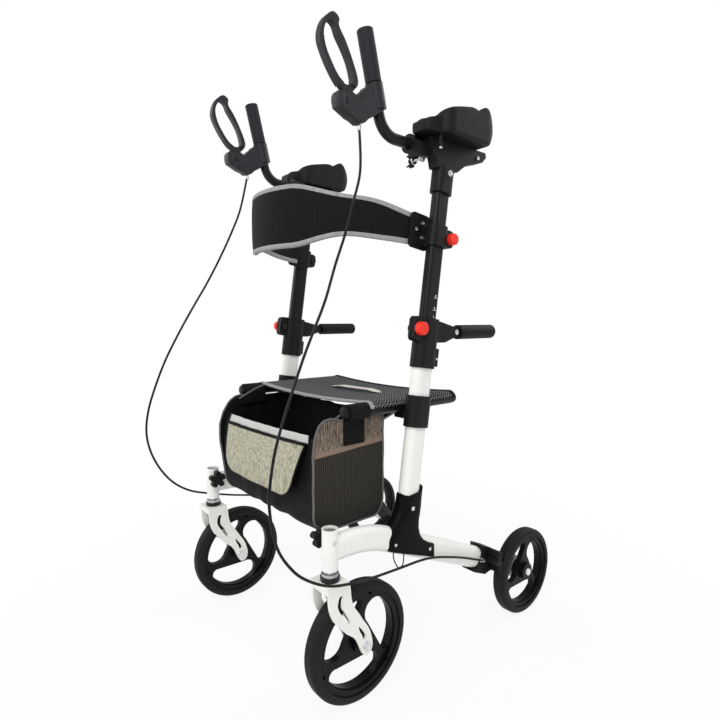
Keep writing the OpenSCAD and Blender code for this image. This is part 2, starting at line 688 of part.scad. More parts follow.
module rim(r, w, bore) difference() {
    rim_r = r - tyre_h;
    span = 1.17*rim_r;
    union() {
        across(2*rim_r, 0.84*w);
        across(hub_d, w + 2*over);
    }
    for (s = [-1, 1]) translate([s*0.36*w, 0, 0]) difference() {
        across(1.54*span, 0.3*w);
        across(hub_d, w);
    }
    for (a = [0, 120, 240]) side_plate(2*w) rotate(a) opening(span);
    for (a = [78, 198, 318]) side_plate(2*w) rotate(a) translate([0.8*span, 0])
        polygon([[-0.035*span, -0.04*span], [0.03*span, -0.03*span], [0.03*span, 0.05*span]]);
    across(bore, 2*w);
}

module tyre(r, w) rotate([0, 90, 0]) rotate_extrude() difference() {
    translate([r - tyre_h, 0]) rounded(2*tyre_h, w, 0.3*w);
    translate([0, -w]) square([r - tyre_h, 2*w]);
}

module front_place() translate([frame_x, front_axle_y, front_axle_z]) children();
module rear_place() translate([frame_x + rear_wheel_x, rear_axle_y, rear_axle_z]) children();
module front_rim() color(trim_black) front_place()
    rim(front_wheel_d/2, front_tyre_w, front_axle_d + 2*run_clear);
module front_tyre() color(rubber) front_place() tyre(front_wheel_d/2, front_tyre_w);
module rear_rim() color(trim_black) rear_place()
    rim(rear_wheel_d/2, rear_tyre_w - 2*over, rear_axle_d + 2*run_clear);
module rear_tyre() color(rubber) rear_place() tyre(rear_wheel_d/2, rear_tyre_w);

module forearm_bracket() color(trim_black) at_frame() {
    rest_y = post_foot_y + forearm_s*sin(post_lean);
    difference() {
        union() {
            on_post(forearm_s) linear_extrude(forearm_h)
                rounded(inner_w + 2*sleeve_wall, inner_d + 2*sleeve_wall, inner_r + sleeve_wall);
            side_plate(rest_w) polygon(on_size(rest_shares, rest_y, pad_z, rest_l, rest_h));
            translate([-bar_inset, ring_y - ring_l/2, bar_z]) along(ring_d, ring_l);
            translate([-bar_inset, ring_y - ring_l/2, bar_z - ring_d/2 - screw_d])
                cube([bar_inset - over, ring_l, screw_d + ring_d/2]);
        }
        on_post(inner_foot) linear_extrude(inner_top - inner_foot) rounded(inner_w, inner_d, inner_r);
        translate([-bar_inset, ring_y - ring_l, bar_z]) along(bar_d + 2*slide_clear, rest_l);
    }
}

module forearm_pad() color(rubber) at_frame() difference() {
    intersection() {
        side_plate(pad_w) polygon(ring_curve(on_size(pad_shares, 0, pad_z + pad_gap, pad_l, pad_h), 3));
        translate([0, 0, pad_z - over]) linear_extrude(2*pad_h) {
            translate([0, 0.12*pad_l]) rounded(pad_w, 0.9*pad_l, 0.25*pad_w);
            translate([0, -0.2*pad_l]) rounded(0.66*pad_w, 0.55*pad_l, 0.25*pad_w);
        }
    }
    translate([0, -pad_l, pad_z + 0.86*pad_h]) rotate([5, 0, 0]) along(2*trough_r, 2*pad_l);
    translate([-bar_inset, ring_y - ring_l/2 - pad_gap, bar_z]) along(ring_d + 2*pad_gap, ring_l + 2*pad_gap);
}

module bar_bend() translate([0, bend_y, bar_z + bar_bend_r]) rotate([0, -90, 0]) rotate(180)
    rotate_extrude(angle = 90 - grip_lean) translate([bar_bend_r, 0]) circle(d = bar_d);

module on_grip(l) translate([0, bend_y, bar_z + bar_bend_r]) rotate([grip_lean, 0, 0])
    translate([0, -bar_bend_r, l]) children();

module handlebar() color(trim_black) at_frame() translate([-bar_inset, 0, 0]) {
    difference() {
        union() {
            translate([0, bend_y, bar_z]) along(bar_d, bar_rear - bend_y);
            bar_bend();
            on_grip(-tube_step) cylinder(d = bar_d - 2*tube_step, h = bar_up + tube_step);
        }
        translate([0, bend_y + bar_d, bar_z]) along(bar_d - 2*tube_wall, bar_rear - bend_y);
        on_grip(bar_d) cylinder(d = bar_d - 2*tube_wall, h = bar_up);
    }
}

module hand_grip() color(rubber) at_frame() translate([-bar_inset, 0, 0]) on_grip(grip_start) difference() {
    rotate_extrude() intersection() {
        square([grip_d, grip_l]);
        union() {
            square([grip_d/2 - knob_round, grip_l]);
            square([grip_d/2, grip_l - knob_round]);
            translate([grip_d/2 - knob_round, grip_l - knob_round]) circle(knob_round);
        }
    }
    translate([0, 0, -over]) cylinder(d = bar_d - 2*tube_step, h = grip_l - grip_wall_top + over);
}

module lever_housing() color(trim_black) at_frame() translate([-bar_inset, 0, 0]) {
    difference() {
        union() {
            side_plate(hood_t) polygon(ring_curve(on_size(hood_shares, lever_y, lever_z, lever_l, lever_h),
                3));
            on_grip(hood_ring_s) cylinder(d = hood_ring_d, h = hood_ring_h);
        }
        bar_bend();
        on_grip(-tube_step) cylinder(d = bar_d - 2*tube_step, h = bar_up);
        translate([0, lever_y, lever_z]) across(2*lever_gap_r - 2*over, lever_tongue + 2*side_clear);
        translate([-lever_tongue/2 - side_clear, lever_y - lever_l/2, lever_z])
            cube([lever_tongue + 2*side_clear, 0.86*lever_l, lever_h]);
        on_grip(grip_start) cylinder(d = grip_d + 2*side_clear, h = grip_l);
    }
    translate([0, lever_y, lever_z]) across(lever_pin_d, hood_t);
}

module brake_lever() color(trim_black) at_frame() translate([-bar_inset, 0, 0]) difference() {
    union() {
        difference() {
            side_plate(lever_w) polygon(ring_curve(on_size(loop_shares, lever_y, lever_z, lever_l, lever_h),
                3));
            translate([0, lever_y, lever_z]) across(2*lever_gap_r, 2*lever_w);
        }
        intersection() {
            side_plate(lever_tongue) polygon(ring_curve(on_size(loop_shares, lever_y, lever_z, lever_l,
                lever_h), 3));
            translate([0, lever_y, lever_z]) across(2*lever_gap_r + 2*over, 2*lever_w);
        }
        translate([0, lever_y, lever_z]) across(lever_hub_d, lever_tongue);
        translate([-lever_tongue/2, lever_y - lever_hub_d/2, lever_z])
            cube([lever_tongue, lever_hub_d, lever_hub_d]);
    }
    side_plate(2*lever_w) polygon(ring_curve(on_size(eye_shares, lever_y, lever_z, lever_l, lever_h), 3));
    translate([0, lever_y, lever_z]) across(lever_pin_d + 2*run_clear, 2*lever_w);
}

// One brace: its bar leans from the lower pivot on one side to the seat rail on the other
module x_brace(side, rear) color(trim_black) {
    rise = rail_z - pivot_z;
    run = rail_x + pivot_x;
    tilt = atan2(rise, run);
    bar_y = brace_y + rear*(bar_t/2 + over);
    cross_z = pivot_z + rise*pivot_x/run;
    difference() {
        union() {
            translate([side*pivot_x, bar_y, pivot_z]) rotate([0, side*tilt - side*90, 0])
                linear_extrude(norm([rise, run])) square([bar_h, bar_t], center = true);
            translate([side*pivot_x, brace_y - ear_in + side_clear, pivot_z])
                along(bar_h, 2*ear_in - 2*side_clear);
            translate([-side*rail_x, -rail_front, rail_z]) along(rail_d, rail_front + rail_rear);
        }
        translate([-side*rail_x, -rail_front - over, rail_z])
            along(rail_d - 2*tube_wall, rail_front + rail_rear + 2*over);
        translate([side*pivot_x, brace_y - 2*ear_in, pivot_z])
            along(pivot_d + 2*run_clear, 2*(ear_in + ear_in));
        translate([0, brace_y - 2*ear_in, cross_z]) along(pivot_d + 2*run_clear, 2*(ear_in + ear_in));
    }
}

module cross_pin() color(steel) {
    cross_z = pivot_z + (rail_z - pivot_z)*pivot_x/(rail_x + pivot_x);
    half = bar_t + over + side_clear;
    translate([0, brace_y - half, cross_z]) along(pivot_d, 2*half);
    for (s = [-1, 1]) translate([0, brace_y + s*(half + screw_head_t/4) - screw_head_t/4, cross_z])
        along(2*pivot_d, screw_head_t/2);
}

module seat_panel() color(cloth_dark) {
    steps = [for (i = [-6:6]) rail_x*i/6];
    translate([0, seat_l - seat_front, 0]) rotate([90, 0, 0]) linear_extrude(seat_l) {
        polygon(concat([for (x = steps) [x, seat_at(x)]],
            [for (i = [12:-1:0]) [steps[i], seat_at(steps[i]) + seat_t]]));
        for (s = [-1, 1]) translate([s*rail_x, rail_z]) difference() {
            intersection() {
                circle(wrap_r + seat_t);
                translate([min(0, s*2*rail_d), seat_lip]) square([2*rail_d, 2*rail_d]);
            }
            circle(wrap_r);
        }
    }
}

module bag() color(cloth_tan) {
    back_y = bag_l - bag_front;
    difference() {
        side_plate(bag_w) polygon(on_size(bag_shares, back_y, bag_z, bag_l, bag_h));
        translate([0, 0, bag_wall]) side_plate(bag_w - 2*bag_wall)
            polygon(on_size(bag_shares, back_y - bag_wall, bag_z, bag_l - 2*bag_wall, bag_h));
        translate([-bag_w/2 + bag_wall, -bag_front + bag_wall, bag_z + 0.9*bag_h])
            cube([bag_w - 2*bag_wall, bag_l - 2*bag_wall, bag_h]);
    }
    for (s = [-1, 1]) translate([s*rail_x, -hang_front, rail_z]) {
        difference() {
            along(rail_d + 2*run_clear + 2*hang_t, hang_l);
            translate([0, -over, 0]) along(rail_d + 2*run_clear, hang_l + 2*over);
        }
        translate([s*bag_w/2 - s*rail_x - (1 + s)/2*hang_t, 0, -hang_drop])
            cube([hang_t, hang_l, hang_drop - rail_d/2 + hang_t]);
    }
}

module backrest() color(cloth_dark) {
    turns = [for (i = [-16:16]) i/16*90];
    middle = [for (a = turns) [band_x*sin(a), band_y - bow*pow(cos(a), 2*band_power)]];
    spine = concat([[-band_x, band_y + band_straight]], middle, [[band_x, band_y + band_straight]]);
    n = len(spine);
    rings = [for (i = [0:n - 1])
        let (
            p = spine[i],
            before = spine[max(i - 1, 0)],
            after = spine[min(i + 1, n - 1)],
            t = unit(after - before),
            q = abs(p[0])/band_x,
            wide = min(1, max(0, (0.78 - q)/0.45)),
            full = wide*wide*(3 - 2*wide),
            h = band_end_h + (band_h - band_end_h)*full,
            w = band_end_t + (band_t - band_end_t)*min(1, 6*max(0, 0.97 - q)),
            z = band_z + band_rise*(1 - pow(q, 8)))
        for (c = [[0, 0.5], [0.4, 0.45], [0.5, 0.36], [0.5, -0.36], [0.4, -0.45], [0, -0.5], [-0.4, -0.45],
            [-0.5, -0.36], [-0.5, 0.36], [-0.4, 0.45]])
        [p[0] - t[1]*c[0]*w, p[1] + t[0]*c[0]*w, z + c[1]*h]];
    polyhedron(rings, quads(n, 10));
}

module brake_cable(route) color(rubber) tube_along(path_curve(route, 2), cable_d, 8);

centred() base_tube();  // base_tube_left
centred() on_right() base_tube();  // base_tube_right
centred() lower_bracket();  // lower_bracket_left
centred() on_right() lower_bracket();  // lower_bracket_right
centred() wheel_bracket();  // wheel_bracket_left
centred() on_right() wheel_bracket();  // wheel_bracket_right
centred() outer_post();  // outer_post_left
centred() on_right() outer_post();  // outer_post_right
centred() seat_cradle();  // seat_cradle_left
centred() on_right() seat_cradle();  // seat_cradle_right
centred() post_clamp();  // post_clamp_left
centred() on_right() post_clamp();  // post_clamp_right
centred() caster_fork();  // caster_fork_left
centred() on_right() caster_fork();  // caster_fork_right
centred() caster_pins();  // caster_pins_left
centred() on_right() caster_pins();  // caster_pins_right
centred() caster_collar();  // caster_collar_left
centred() on_right() caster_collar();  // caster_collar_right
centred() front_rim();  // front_rim_left
centred() on_right() front_rim();  // front_rim_right
centred() front_tyre();  // front_tyre_left
centred() on_right() front_tyre();  // front_tyre_right
centred() rear_rim();  // rear_rim_left
centred() on_right() rear_rim();  // rear_rim_right
centred() rear_tyre();  // rear_tyre_left
centred() on_right() rear_tyre();  // rear_tyre_right
centred() brake_arm();  // brake_arm_left
centred() on_right() brake_arm();  // brake_arm_right
centred() inner_post();  // inner_post_left
centred() on_right() inner_post();  // inner_post_right
centred() backrest_sleeve();  // backrest_sleeve_left
centred() on_right() backrest_sleeve();  // backrest_sleeve_right
centred() forearm_bracket();  // forearm_bracket_left
centred() on_right() forearm_bracket();  // forearm_bracket_right
centred() forearm_pad();  // forearm_pad_left
centred() on_right() forearm_pad();  // forearm_pad_right
centred() handlebar();  // handlebar_left
centred() on_right() handlebar();  // handlebar_right
centred() hand_grip();  // hand_grip_left
centred() on_right() hand_grip();  // hand_grip_right
centred() lever_housing();  // lever_housing_left
centred() on_right() lever_housing();  // lever_housing_right
centred() brake_lever();  // brake_lever_left
centred() on_right() brake_lever();  // brake_lever_right
centred() brake_cable(cable_left);  // brake_cable_left
centred() brake_cable(cable_right);  // brake_cable_right
centred() height_knob();  // height_knob_left
centred() on_right() height_knob();  // height_knob_right
centred() star_knob();  // star_knob_left
centred() on_right() star_knob();  // star_knob_right
centred() push_handle();  // push_handle_left
centred() on_right() push_handle();  // push_handle_right
centred() backrest_knob();  // backrest_knob_left
centred() on_right() backrest_knob();  // backrest_knob_right
centred() x_brace(1, -1);  // x_brace_left
centred() x_brace(-1, 1);  // x_brace_right
centred() cross_pin();
centred() seat_panel();
centred() bag();
centred() backrest();
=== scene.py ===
"""Looks of the upright walker: cloth, padding, cables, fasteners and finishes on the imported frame.

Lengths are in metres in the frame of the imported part: +Z up, front toward -Y, the user's left at +X.
"""

from __future__ import annotations

import json
import logging
import math
from dataclasses import dataclass
from enum import Enum
from typing import Callable, Sequence

import bmesh
import bpy
import numpy as np
from mathutils import Matrix, Vector

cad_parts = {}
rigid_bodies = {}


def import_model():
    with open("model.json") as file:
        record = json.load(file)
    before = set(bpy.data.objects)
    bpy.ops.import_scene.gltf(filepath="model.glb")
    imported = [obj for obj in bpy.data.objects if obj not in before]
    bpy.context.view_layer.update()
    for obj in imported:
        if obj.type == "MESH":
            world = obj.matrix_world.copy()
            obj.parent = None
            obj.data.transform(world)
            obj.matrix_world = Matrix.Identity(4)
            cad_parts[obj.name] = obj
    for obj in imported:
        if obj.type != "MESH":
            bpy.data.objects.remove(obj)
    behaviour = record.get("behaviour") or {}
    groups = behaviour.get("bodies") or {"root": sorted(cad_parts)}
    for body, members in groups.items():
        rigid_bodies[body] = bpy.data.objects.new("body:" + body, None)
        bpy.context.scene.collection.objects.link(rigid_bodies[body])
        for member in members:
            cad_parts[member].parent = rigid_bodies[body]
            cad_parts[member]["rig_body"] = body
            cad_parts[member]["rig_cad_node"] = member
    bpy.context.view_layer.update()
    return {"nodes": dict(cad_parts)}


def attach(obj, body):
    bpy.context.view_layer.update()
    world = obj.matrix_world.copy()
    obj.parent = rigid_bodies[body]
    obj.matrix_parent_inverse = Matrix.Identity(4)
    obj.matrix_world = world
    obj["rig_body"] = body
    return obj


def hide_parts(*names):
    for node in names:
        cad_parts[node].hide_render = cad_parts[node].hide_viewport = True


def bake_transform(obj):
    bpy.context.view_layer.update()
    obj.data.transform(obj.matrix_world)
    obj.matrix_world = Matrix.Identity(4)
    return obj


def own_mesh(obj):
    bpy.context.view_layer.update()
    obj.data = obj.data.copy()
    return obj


log = logging.getLogger("walker")
Point = tuple[float, float, float]
Colour = tuple[float, float, float]
Obj = bpy.types.Object
Material = bpy.types.Material
Socket = bpy.types.NodeSocket
MM = 0.001
# A wave texture's scale times its pitch, the distance at which corners merge, and the angle that stays sharp.
BAND_SCALE = 0.314
MERGE = 1e-6
SHARP = math.radians(40)
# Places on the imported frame, in metres.
FRAME_X = 0.247
PLATE_X = 0.227
RAIL_X, RAIL_Z = 0.208, 0.546
CLAMP_Y, CLAMP_Z = -0.07, 1.0465
KNOB_FACE_X, CUFF_Z = 0.2583, 0.2635
POST_FOOT: Point = (0.0, -0.124, 0.2707)
POST_LEAN = math.radians(8.2)
POST_UP = (0.0, math.sin(POST_LEAN), math.cos(POST_LEAN))
POST_BACK = (0.0, math.cos(POST_LEAN), -math.sin(POST_LEAN))
# Lamps: name, place, side in metres and power in watts.
LAMPS = (
    ("key", (1.5, -2.1, 2.6), 2.2, 62),
    ("fill", (-2.4, -1.4, 1.6), 2.4, 26),
    ("rear", (0.6, 2.4, 2.2), 2.0, 30),
)
BOX_FACES = ((0, 1, 2, 3), (4, 5, 6, 7), (0, 1, 5, 4), (1, 2, 6, 5), (2, 3, 7, 6), (3, 0, 4, 7))
# Lower bracket, in mm: front y, front z, rear y and rear z of each ring, and the power of its superellipse.
BRACKET_RINGS = (
    (-179, 272, -40, 219.5, 5.0), (-179.5, 276, -39.5, 223, 5.0), (-178, 291, -40, 245, 5.0),
    (-176.5, 297, -43, 249.5, 4.6), (-174.5, 302, -58, 256, 4.2), (-172, 308, -73, 265.5, 3.8),
    (-167, 314.5, -83, 279, 3.4), (-160, 321, -87, 295, 3.2), (-152, 329, -86.5, 312, 3.0),
    (-145.5, 338, -83, 325, 2.8), (-141, 349, -80, 338, 2.6), (-138.5, 361, -78.5, 355, 2.6),
    (-136.1, 375, -75, 382, 2.6),
)
# Lever hood: its pivot, middle and width in metres, and outlines (y, z) from the pivot in mm.
LEVER_PIVOT = (-0.243, 1.117)
LEVER_X, HOOD_WIDE = 0.216, 0.0234
HOOD_FRONT = (
    (-11, 10), (-24, 12), (-29, 4), (-29, -6), (-26, -17), (-14, -22), (-1, -28), (12, -31), (22, -36),
    (27, -29), (14, -17), (0, -12), (-10, -8),
)
HOOD_REAR = ((16, 8), (22, 17), (28, 23), (34, 27), (40, 35), (48, 40), (56, 38), (52, 28), (38, 13), (20, 5))
# Cables, in mm, as on the left side; both share the tail along the base tube.
CABLE_LEFT = (
    (216, -215, 1083), (218, -214, 1000), (222, -236, 934), (225, -256, 878), (229, -282, 820),
    (233, -307, 758), (238, -335, 706), (243, -362, 656), (250, -393, 592), (257, -421, 530),
    (263, -436, 486), (270, -446, 430), (278, -438, 364), (283, -412, 319), (286, -382, 292),
    (286, -340, 269), (284, -292, 256), (279, -238, 246), (273, -160, 237),
)
CABLE_RIGHT = (
    (216, -215, 1083), (219, -234, 1000), (223, -256, 942), (227, -290, 870), (231, -323, 808),
    (235, -350, 762), (240, -386, 698), (246, -420, 630), (252, -445, 564), (257, -460, 510),
    (262, -464, 460), (268, -454, 412), (274, -431, 364), (280, -398, 322), (285, -357, 292),
    (286, -314, 275), (284, -270, 262), (279, -220, 250), (273, -160, 239),
)
CABLE_TAIL = (
    (270, -100, 232), (269, -56, 225), (269, -4, 210), (269, 48, 192), (268, 92, 174), (268, 120, 163),
)
CABLE_HOOK = (
    (0.262, -0.166, 0.272), (0.268, -0.170, 0.256), (0.2735, -0.164, 0.2405),
    (0.2735, -0.152, 0.241), (0.268, -0.143, 0.2505), (0.262, -0.138, 0.262),
)
# Bag, in metres: the side panels' upper edge, the front and the wing (y, z); the rear is (inward, z).
BAG_TOP = (
    (-0.310, 0.478), (-0.3075, 0.504), (-0.2985, 0.524), (-0.285, 0.534), (-0.27, 0.5365), (-0.258, 0.534),
    (-0.251, 0.531),
)
BAG_FRONT = ((-0.2965, 0.4985), (-0.3, 0.46), (-0.306, 0.4), (-0.31, 0.352))
BAG_WING = ((-0.262, 0.5285), (-0.236, 0.541), (-0.21, 0.552), (-0.188, 0.5575))
BAG_REAR = ((0.0, 0.352), (0.001, 0.42), (0.003, 0.49), (0.004, 0.535))


class Side(Enum):
    """The two side frames; the value is the sign of X."""

    LEFT = 1
    RIGHT = -1

    @property
    def label(self) -> str:
        """The side's word in node and body names."""
        return self.name.lower()


class Body(Enum):
    """Bodies that carry pieces of the scene, without their side."""

    FRAME = "{side}_frame"
    UPPER = "upper_{side}"
    BACK = "back_{side}"
    HANDLE = "handle_{side}"
    RAIL = "brace_{other}"
    SLING = "sling"

    def on(self, side: Side = Side.LEFT) -> str:
        """The body's name on one side."""
        return self.value.format(side=side.label, other=Side(-side.value).label)


def srgb(colour: Colour) -> tuple[float, float, float, float]:
    """Turns a colour as seen on a screen into the shader's linear one.

    Args:
        colour: Red, green and blue from 0 to 1.

    Returns:
        The linear colour with full alpha.
    """
    linear = [c / 12.92 if c <= 0.04045 else ((c + 0.055) / 1.055) ** 2.4 for c in colour]
    return (linear[0], linear[1], linear[2], 1.0)


class Shader:
    """One material under construction."""

    def __init__(self, name: str) -> None:
        """Starts a material with its principled shader.

        Args:
            name: Name of the material.
        """
        self.material = bpy.data.materials.new(name)
        self.material.use_nodes = True
        self.tree = self.material.node_tree
        self.surface = self.tree.nodes["Principled BSDF"]

    def node(self, kind: str, **settings: object) -> bpy.types.Node:
        """Adds a node and sets its properties.

        Args:
            kind: The node's type.
            **settings: Its properties by name.

        Returns:
            The new node.
        """
        made = self.tree.nodes.new(kind)
        for key, value in settings.items():
            setattr(made, key, value)
        return made

    def feed(self, source: Socket, name: str) -> None:
        """Links a socket to a socket of the principled shader."""
        self.tree.links.new(source, self.surface.inputs[name])

    def fix(self, **values: float | tuple) -> None:
        """Sets plain values on the principled shader; underscores stand for spaces."""
        for key, value in values.items():
            self.surface.inputs[key.replace("_", " ")].default_value = value

    def place(self, stretch: Point = (1, 1, 1), turn: Point = (0, 0, 0), uv: bool = False) -> Socket:
        """Gives coordinates in metres.

        Args:
            stretch: Scale along each axis.
            turn: Turn in degrees.
            uv: Whether to read the piece's own UV map.

        Returns:
            The socket of the mapped coordinates.
        """
        source = self.node("ShaderNodeTexCoord").outputs["UV" if uv else "Object"]
        mapping = self.node("ShaderNodeMapping")
        mapping.inputs["Scale"].default_value = stretch
        mapping.inputs["Rotation"].default_value = [math.radians(a) for a in turn]
        self.tree.links.new(source, mapping.inputs["Vector"])
        return mapping.outputs["Vector"]

    def noise(self, scale: float, detail: float = 3.0, where: Socket | None = None) -> Socket:
        """Adds noise, on plain coordinates unless others are given, and returns its value.

        Args:
            scale: Lumps in a metre.
            detail: Finer layers.
            where: Coordinates.

        Returns:
            The socket of the value.
        """
        made = self.node("ShaderNodeTexNoise")
        made.inputs["Scale"].default_value = scale
        made.inputs["Detail"].default_value = detail
        self.tree.links.new(where or self.place(), made.inputs["Vector"])
        return made.outputs["Fac"]

    def wave(self, where: Socket, pitch: float, along: str = "X") -> Socket:
        """Adds straight bands of a pitch in metres and returns their value.

        Args:
            where: Coordinates.
            pitch: Distance from band to band.
            along: Axis that the bands follow each other on.

        Returns:
            The socket of the value.
        """
        made = self.node("ShaderNodeTexWave", bands_direction=along)
        made.inputs["Scale"].default_value = BAND_SCALE / pitch
        self.tree.links.new(where, made.inputs["Vector"])
        return made.outputs["Fac"]

    def math(self, how: str, first: Socket, second: Socket | float) -> Socket:
        """Joins two values by arithmetic.

        Args:
            how: Name of the operation.
            first: First value.
            second: Second value, a socket or a number.

        Returns:
            The socket of the result.
        """
        made = self.node("ShaderNodeMath", operation=how)
        self.tree.links.new(first, made.inputs[0])
        if isinstance(second, (int, float)):
            made.inputs[1].default_value = second
        else:
            self.tree.links.new(second, made.inputs[1])
        return made.outputs[0]

    def blend(self, first: Socket, second: Socket, share: float) -> Socket:
        """Blends two values, the first by its share."""
        return self.math("ADD", self.math("MULTIPLY", first, share), self.math("MULTIPLY", second, 1 - share))

    def colours(self, value: Socket, *stops: tuple[float, Colour]) -> None:
        """Colours the surface by stops of place and colour along a value.

        Args:
            value: Value from 0 to 1.
            *stops: Places from 0 to 1 with their colours.
        """
        made = self.node("ShaderNodeValToRGB")
        cells = made.color_ramp.elements
        shades = [(place, srgb(colour)) for place, colour in stops]
        cells[0].position, cells[0].color = shades[0]
        cells[1].position, cells[1].color = shades[-1]
        for place, shade in shades[1:-1]:
            cells.new(place).color = shade
        self.tree.links.new(value, made.inputs["Fac"])
        self.feed(made.outputs["Color"], "Base Color")

    def between(self, value: Socket, low: float, high: float) -> Socket:
        """Spreads a value from 0..1 to low..high.

        Args:
            value: Value from 0 to 1.
            low: Result at 0.
            high: Result at 1.

        Returns:
            The socket of the result.
        """
        made = self.node("ShaderNodeMapRange")
        made.inputs["To Min"].default_value = low
        made.inputs["To Max"].default_value = high
        self.tree.links.new(value, made.inputs["Value"])
        return made.outputs["Result"]

    def gloss(self, scale: float, low: float, high: float) -> None:
        """Spreads the roughness between low and high by noise."""
        self.feed(self.between(self.noise(scale), low, high), "Roughness")

    def relief(self, heights: Sequence[tuple[Socket, float]], edge: float = 0.0) -> None:
        """Raises the surface by heights, each with its depth, over edges rounded by a radius.

        Args:
            heights: Sockets of height from 0 to 1, each with its depth in metres.
            edge: Radius of the rounded edges, none at zero.
        """
        normal = None
        if edge:
            round_edge = self.node("ShaderNodeBevel", samples=4)
            round_edge.inputs["Radius"].default_value = edge
            normal = round_edge.outputs["Normal"]
        for height, depth in heights:
            bump = self.node("ShaderNodeBump")
            bump.inputs["Strength"].default_value = 1.0
            bump.inputs["Distance"].default_value = depth
            self.tree.links.new(height, bump.inputs["Height"])
            if normal:
                self.tree.links.new(normal, bump.inputs["Normal"])
            normal = bump.outputs["Normal"]
        if normal:
            self.feed(normal, "Normal")


@dataclass(frozen=True)
class Finish:
    """A finish by name; each kind lays its own shader."""

    name: str

    def lay(self, s: Shader) -> None:
        """Sets colour, roughness and relief.

        Args:
            s: The material under construction.
        """
        raise NotImplementedError

    def make(self) -> Material:
        """Builds the material.

        Returns:
            The material.
        """
        s = Shader(self.name)
        self.lay(s)
        return s.material


@dataclass(frozen=True)
class Enamel(Finish):
    """Stove enamel on aluminium tube: smooth, with a faint orange peel."""

    colour: Colour
    shade: Colour
    rough: float = 0.36
    shine: float = 0.5
    coat: float = 0.15

    def lay(self, s: Shader) -> None:
        """Lays a slow change of shade under a thin coat.

        Args:
            s: The material under construction.
        """
        s.colours(s.noise(9, 1), (0.3, self.shade), (0.7, self.colour))
        s.gloss(90, self.rough - 0.06, self.rough + 0.08)
        s.relief([(s.noise(260, 1), 0.00001)])
        s.fix(Coat_Weight=self.coat, Coat_Roughness=0.3, Specular_IOR_Level=self.shine)


@dataclass(frozen=True)
class Moulding(Finish):
    """Moulded plastic with a fine spark-eroded grain."""

    colour: Colour
    light: Colour
    rough: float = 0.5
    grain: float = 0.00006
    edge: float = 0.0012
    shine: float = 0.2

    def lay(self, s: Shader) -> None:
        """Lays grain over rounded edges.

        Args:
            s: The material under construction.
        """
        s.colours(s.noise(35, 4), (0.35, self.colour), (0.75, self.light))
        s.gloss(160, self.rough - 0.08, self.rough + 0.1)
        s.relief([(s.noise(1500, 2), self.grain)], self.edge)
        s.fix(Specular_IOR_Level=self.shine)


@dataclass(frozen=True)
class TwoTone(Finish):
    """Plain plastic on one side of a plane across an axis and another finish beyond it."""

    axis: str
    limit: float
    below: Colour
    beyond: Colour
    metal: float = 0.0

    def lay(self, s: Shader) -> None:
        """Splits the piece by its distance from the middle.

        Args:
            s: The material under construction.
        """
        split = s.node("ShaderNodeSeparateXYZ")
        s.tree.links.new(s.place(), split.inputs[0])
        far = s.math("GREATER_THAN", s.math("ABSOLUTE", split.outputs[self.axis], 0.0), self.limit)
        s.colours(far, (0.0, self.below), (1.0, self.beyond))
        s.feed(s.math("MULTIPLY", far, self.metal), "Metallic")
        s.gloss(160, 0.3, 0.42)
        s.relief([(s.noise(1500, 2), 0.00002)])
        s.fix(Specular_IOR_Level=0.3)


@dataclass(frozen=True)
class Knurl(Finish):
    """Soft grip rubber with crossed grooves."""

    colour: Colour
    light: Colour
    pitch: float = 0.003
    slant: float = 45.0

    def lay(self, s: Shader) -> None:
        """Crosses two sets of grooves.

        Args:
            s: The material under construction.
        """
        one = s.wave(s.place(turn=(self.slant, 0, 0)), self.pitch, "Z")
        two = s.wave(s.place(turn=(-self.slant, 0, 0)), self.pitch, "Z")
        grooves = s.math("MULTIPLY", one, two)
        s.colours(grooves, (0.0, self.colour), (1.0, self.light))
        s.gloss(120, 0.5, 0.68)
        s.relief([(grooves, 0.00022), (s.noise(1300, 1), 0.00005)], 0.001)
        s.fix(Specular_IOR_Level=0.16)


@dataclass(frozen=True)
class BareMetal(Finish):
    """Zinc-plated steel with fine turning marks."""

    colour: Colour
    rough: float = 0.25

    def lay(self, s: Shader) -> None:
        """Lays marks that run round the upright axis.

        Args:
            s: The material under construction.
        """
        s.fix(Metallic=1.0)
        s.colours(s.noise(220), (0.3, self.colour), (0.8, (0.93, 0.93, 0.94)))
        marks = s.noise(120, where=s.place((1, 1, 30)))
        s.feed(s.between(marks, self.rough - 0.08, self.rough + 0.12), "Roughness")
        s.relief([(s.noise(700, 1, s.place((1, 1, 12))), 0.00003)])


@dataclass(frozen=True)
class Heather(Finish):
    """Melange cloth whose light and dark yarns run upright."""

    dark: Colour
    middle: Colour
    light: Colour
    yarn: float = 0.0011

    def lay(self, s: Shader) -> None:
        """Mixes long and short streaks of yarn over a plain weave.

        Args:
            s: The material under construction.
        """
        streak = s.noise(0.6 / self.yarn, 3, s.place((1, 1, 0.06)))
        fleck = s.noise(0.7 / self.yarn, 2, s.place((1, 1, 0.22)))
        s.colours(s.blend(streak, fleck, 0.6), (0.36, self.dark), (0.5, self.middle), (0.64, self.light))
        weft = s.wave(s.place(), self.yarn, "Z")
        warp = s.wave(s.place(turn=(0, 0, 45)), self.yarn)
        s.relief([(s.math("MULTIPLY", weft, warp), 0.00035), (fleck, 0.0003)])
        s.fix(Roughness=0.92, Sheen_Weight=0.05, Specular_IOR_Level=0.2)


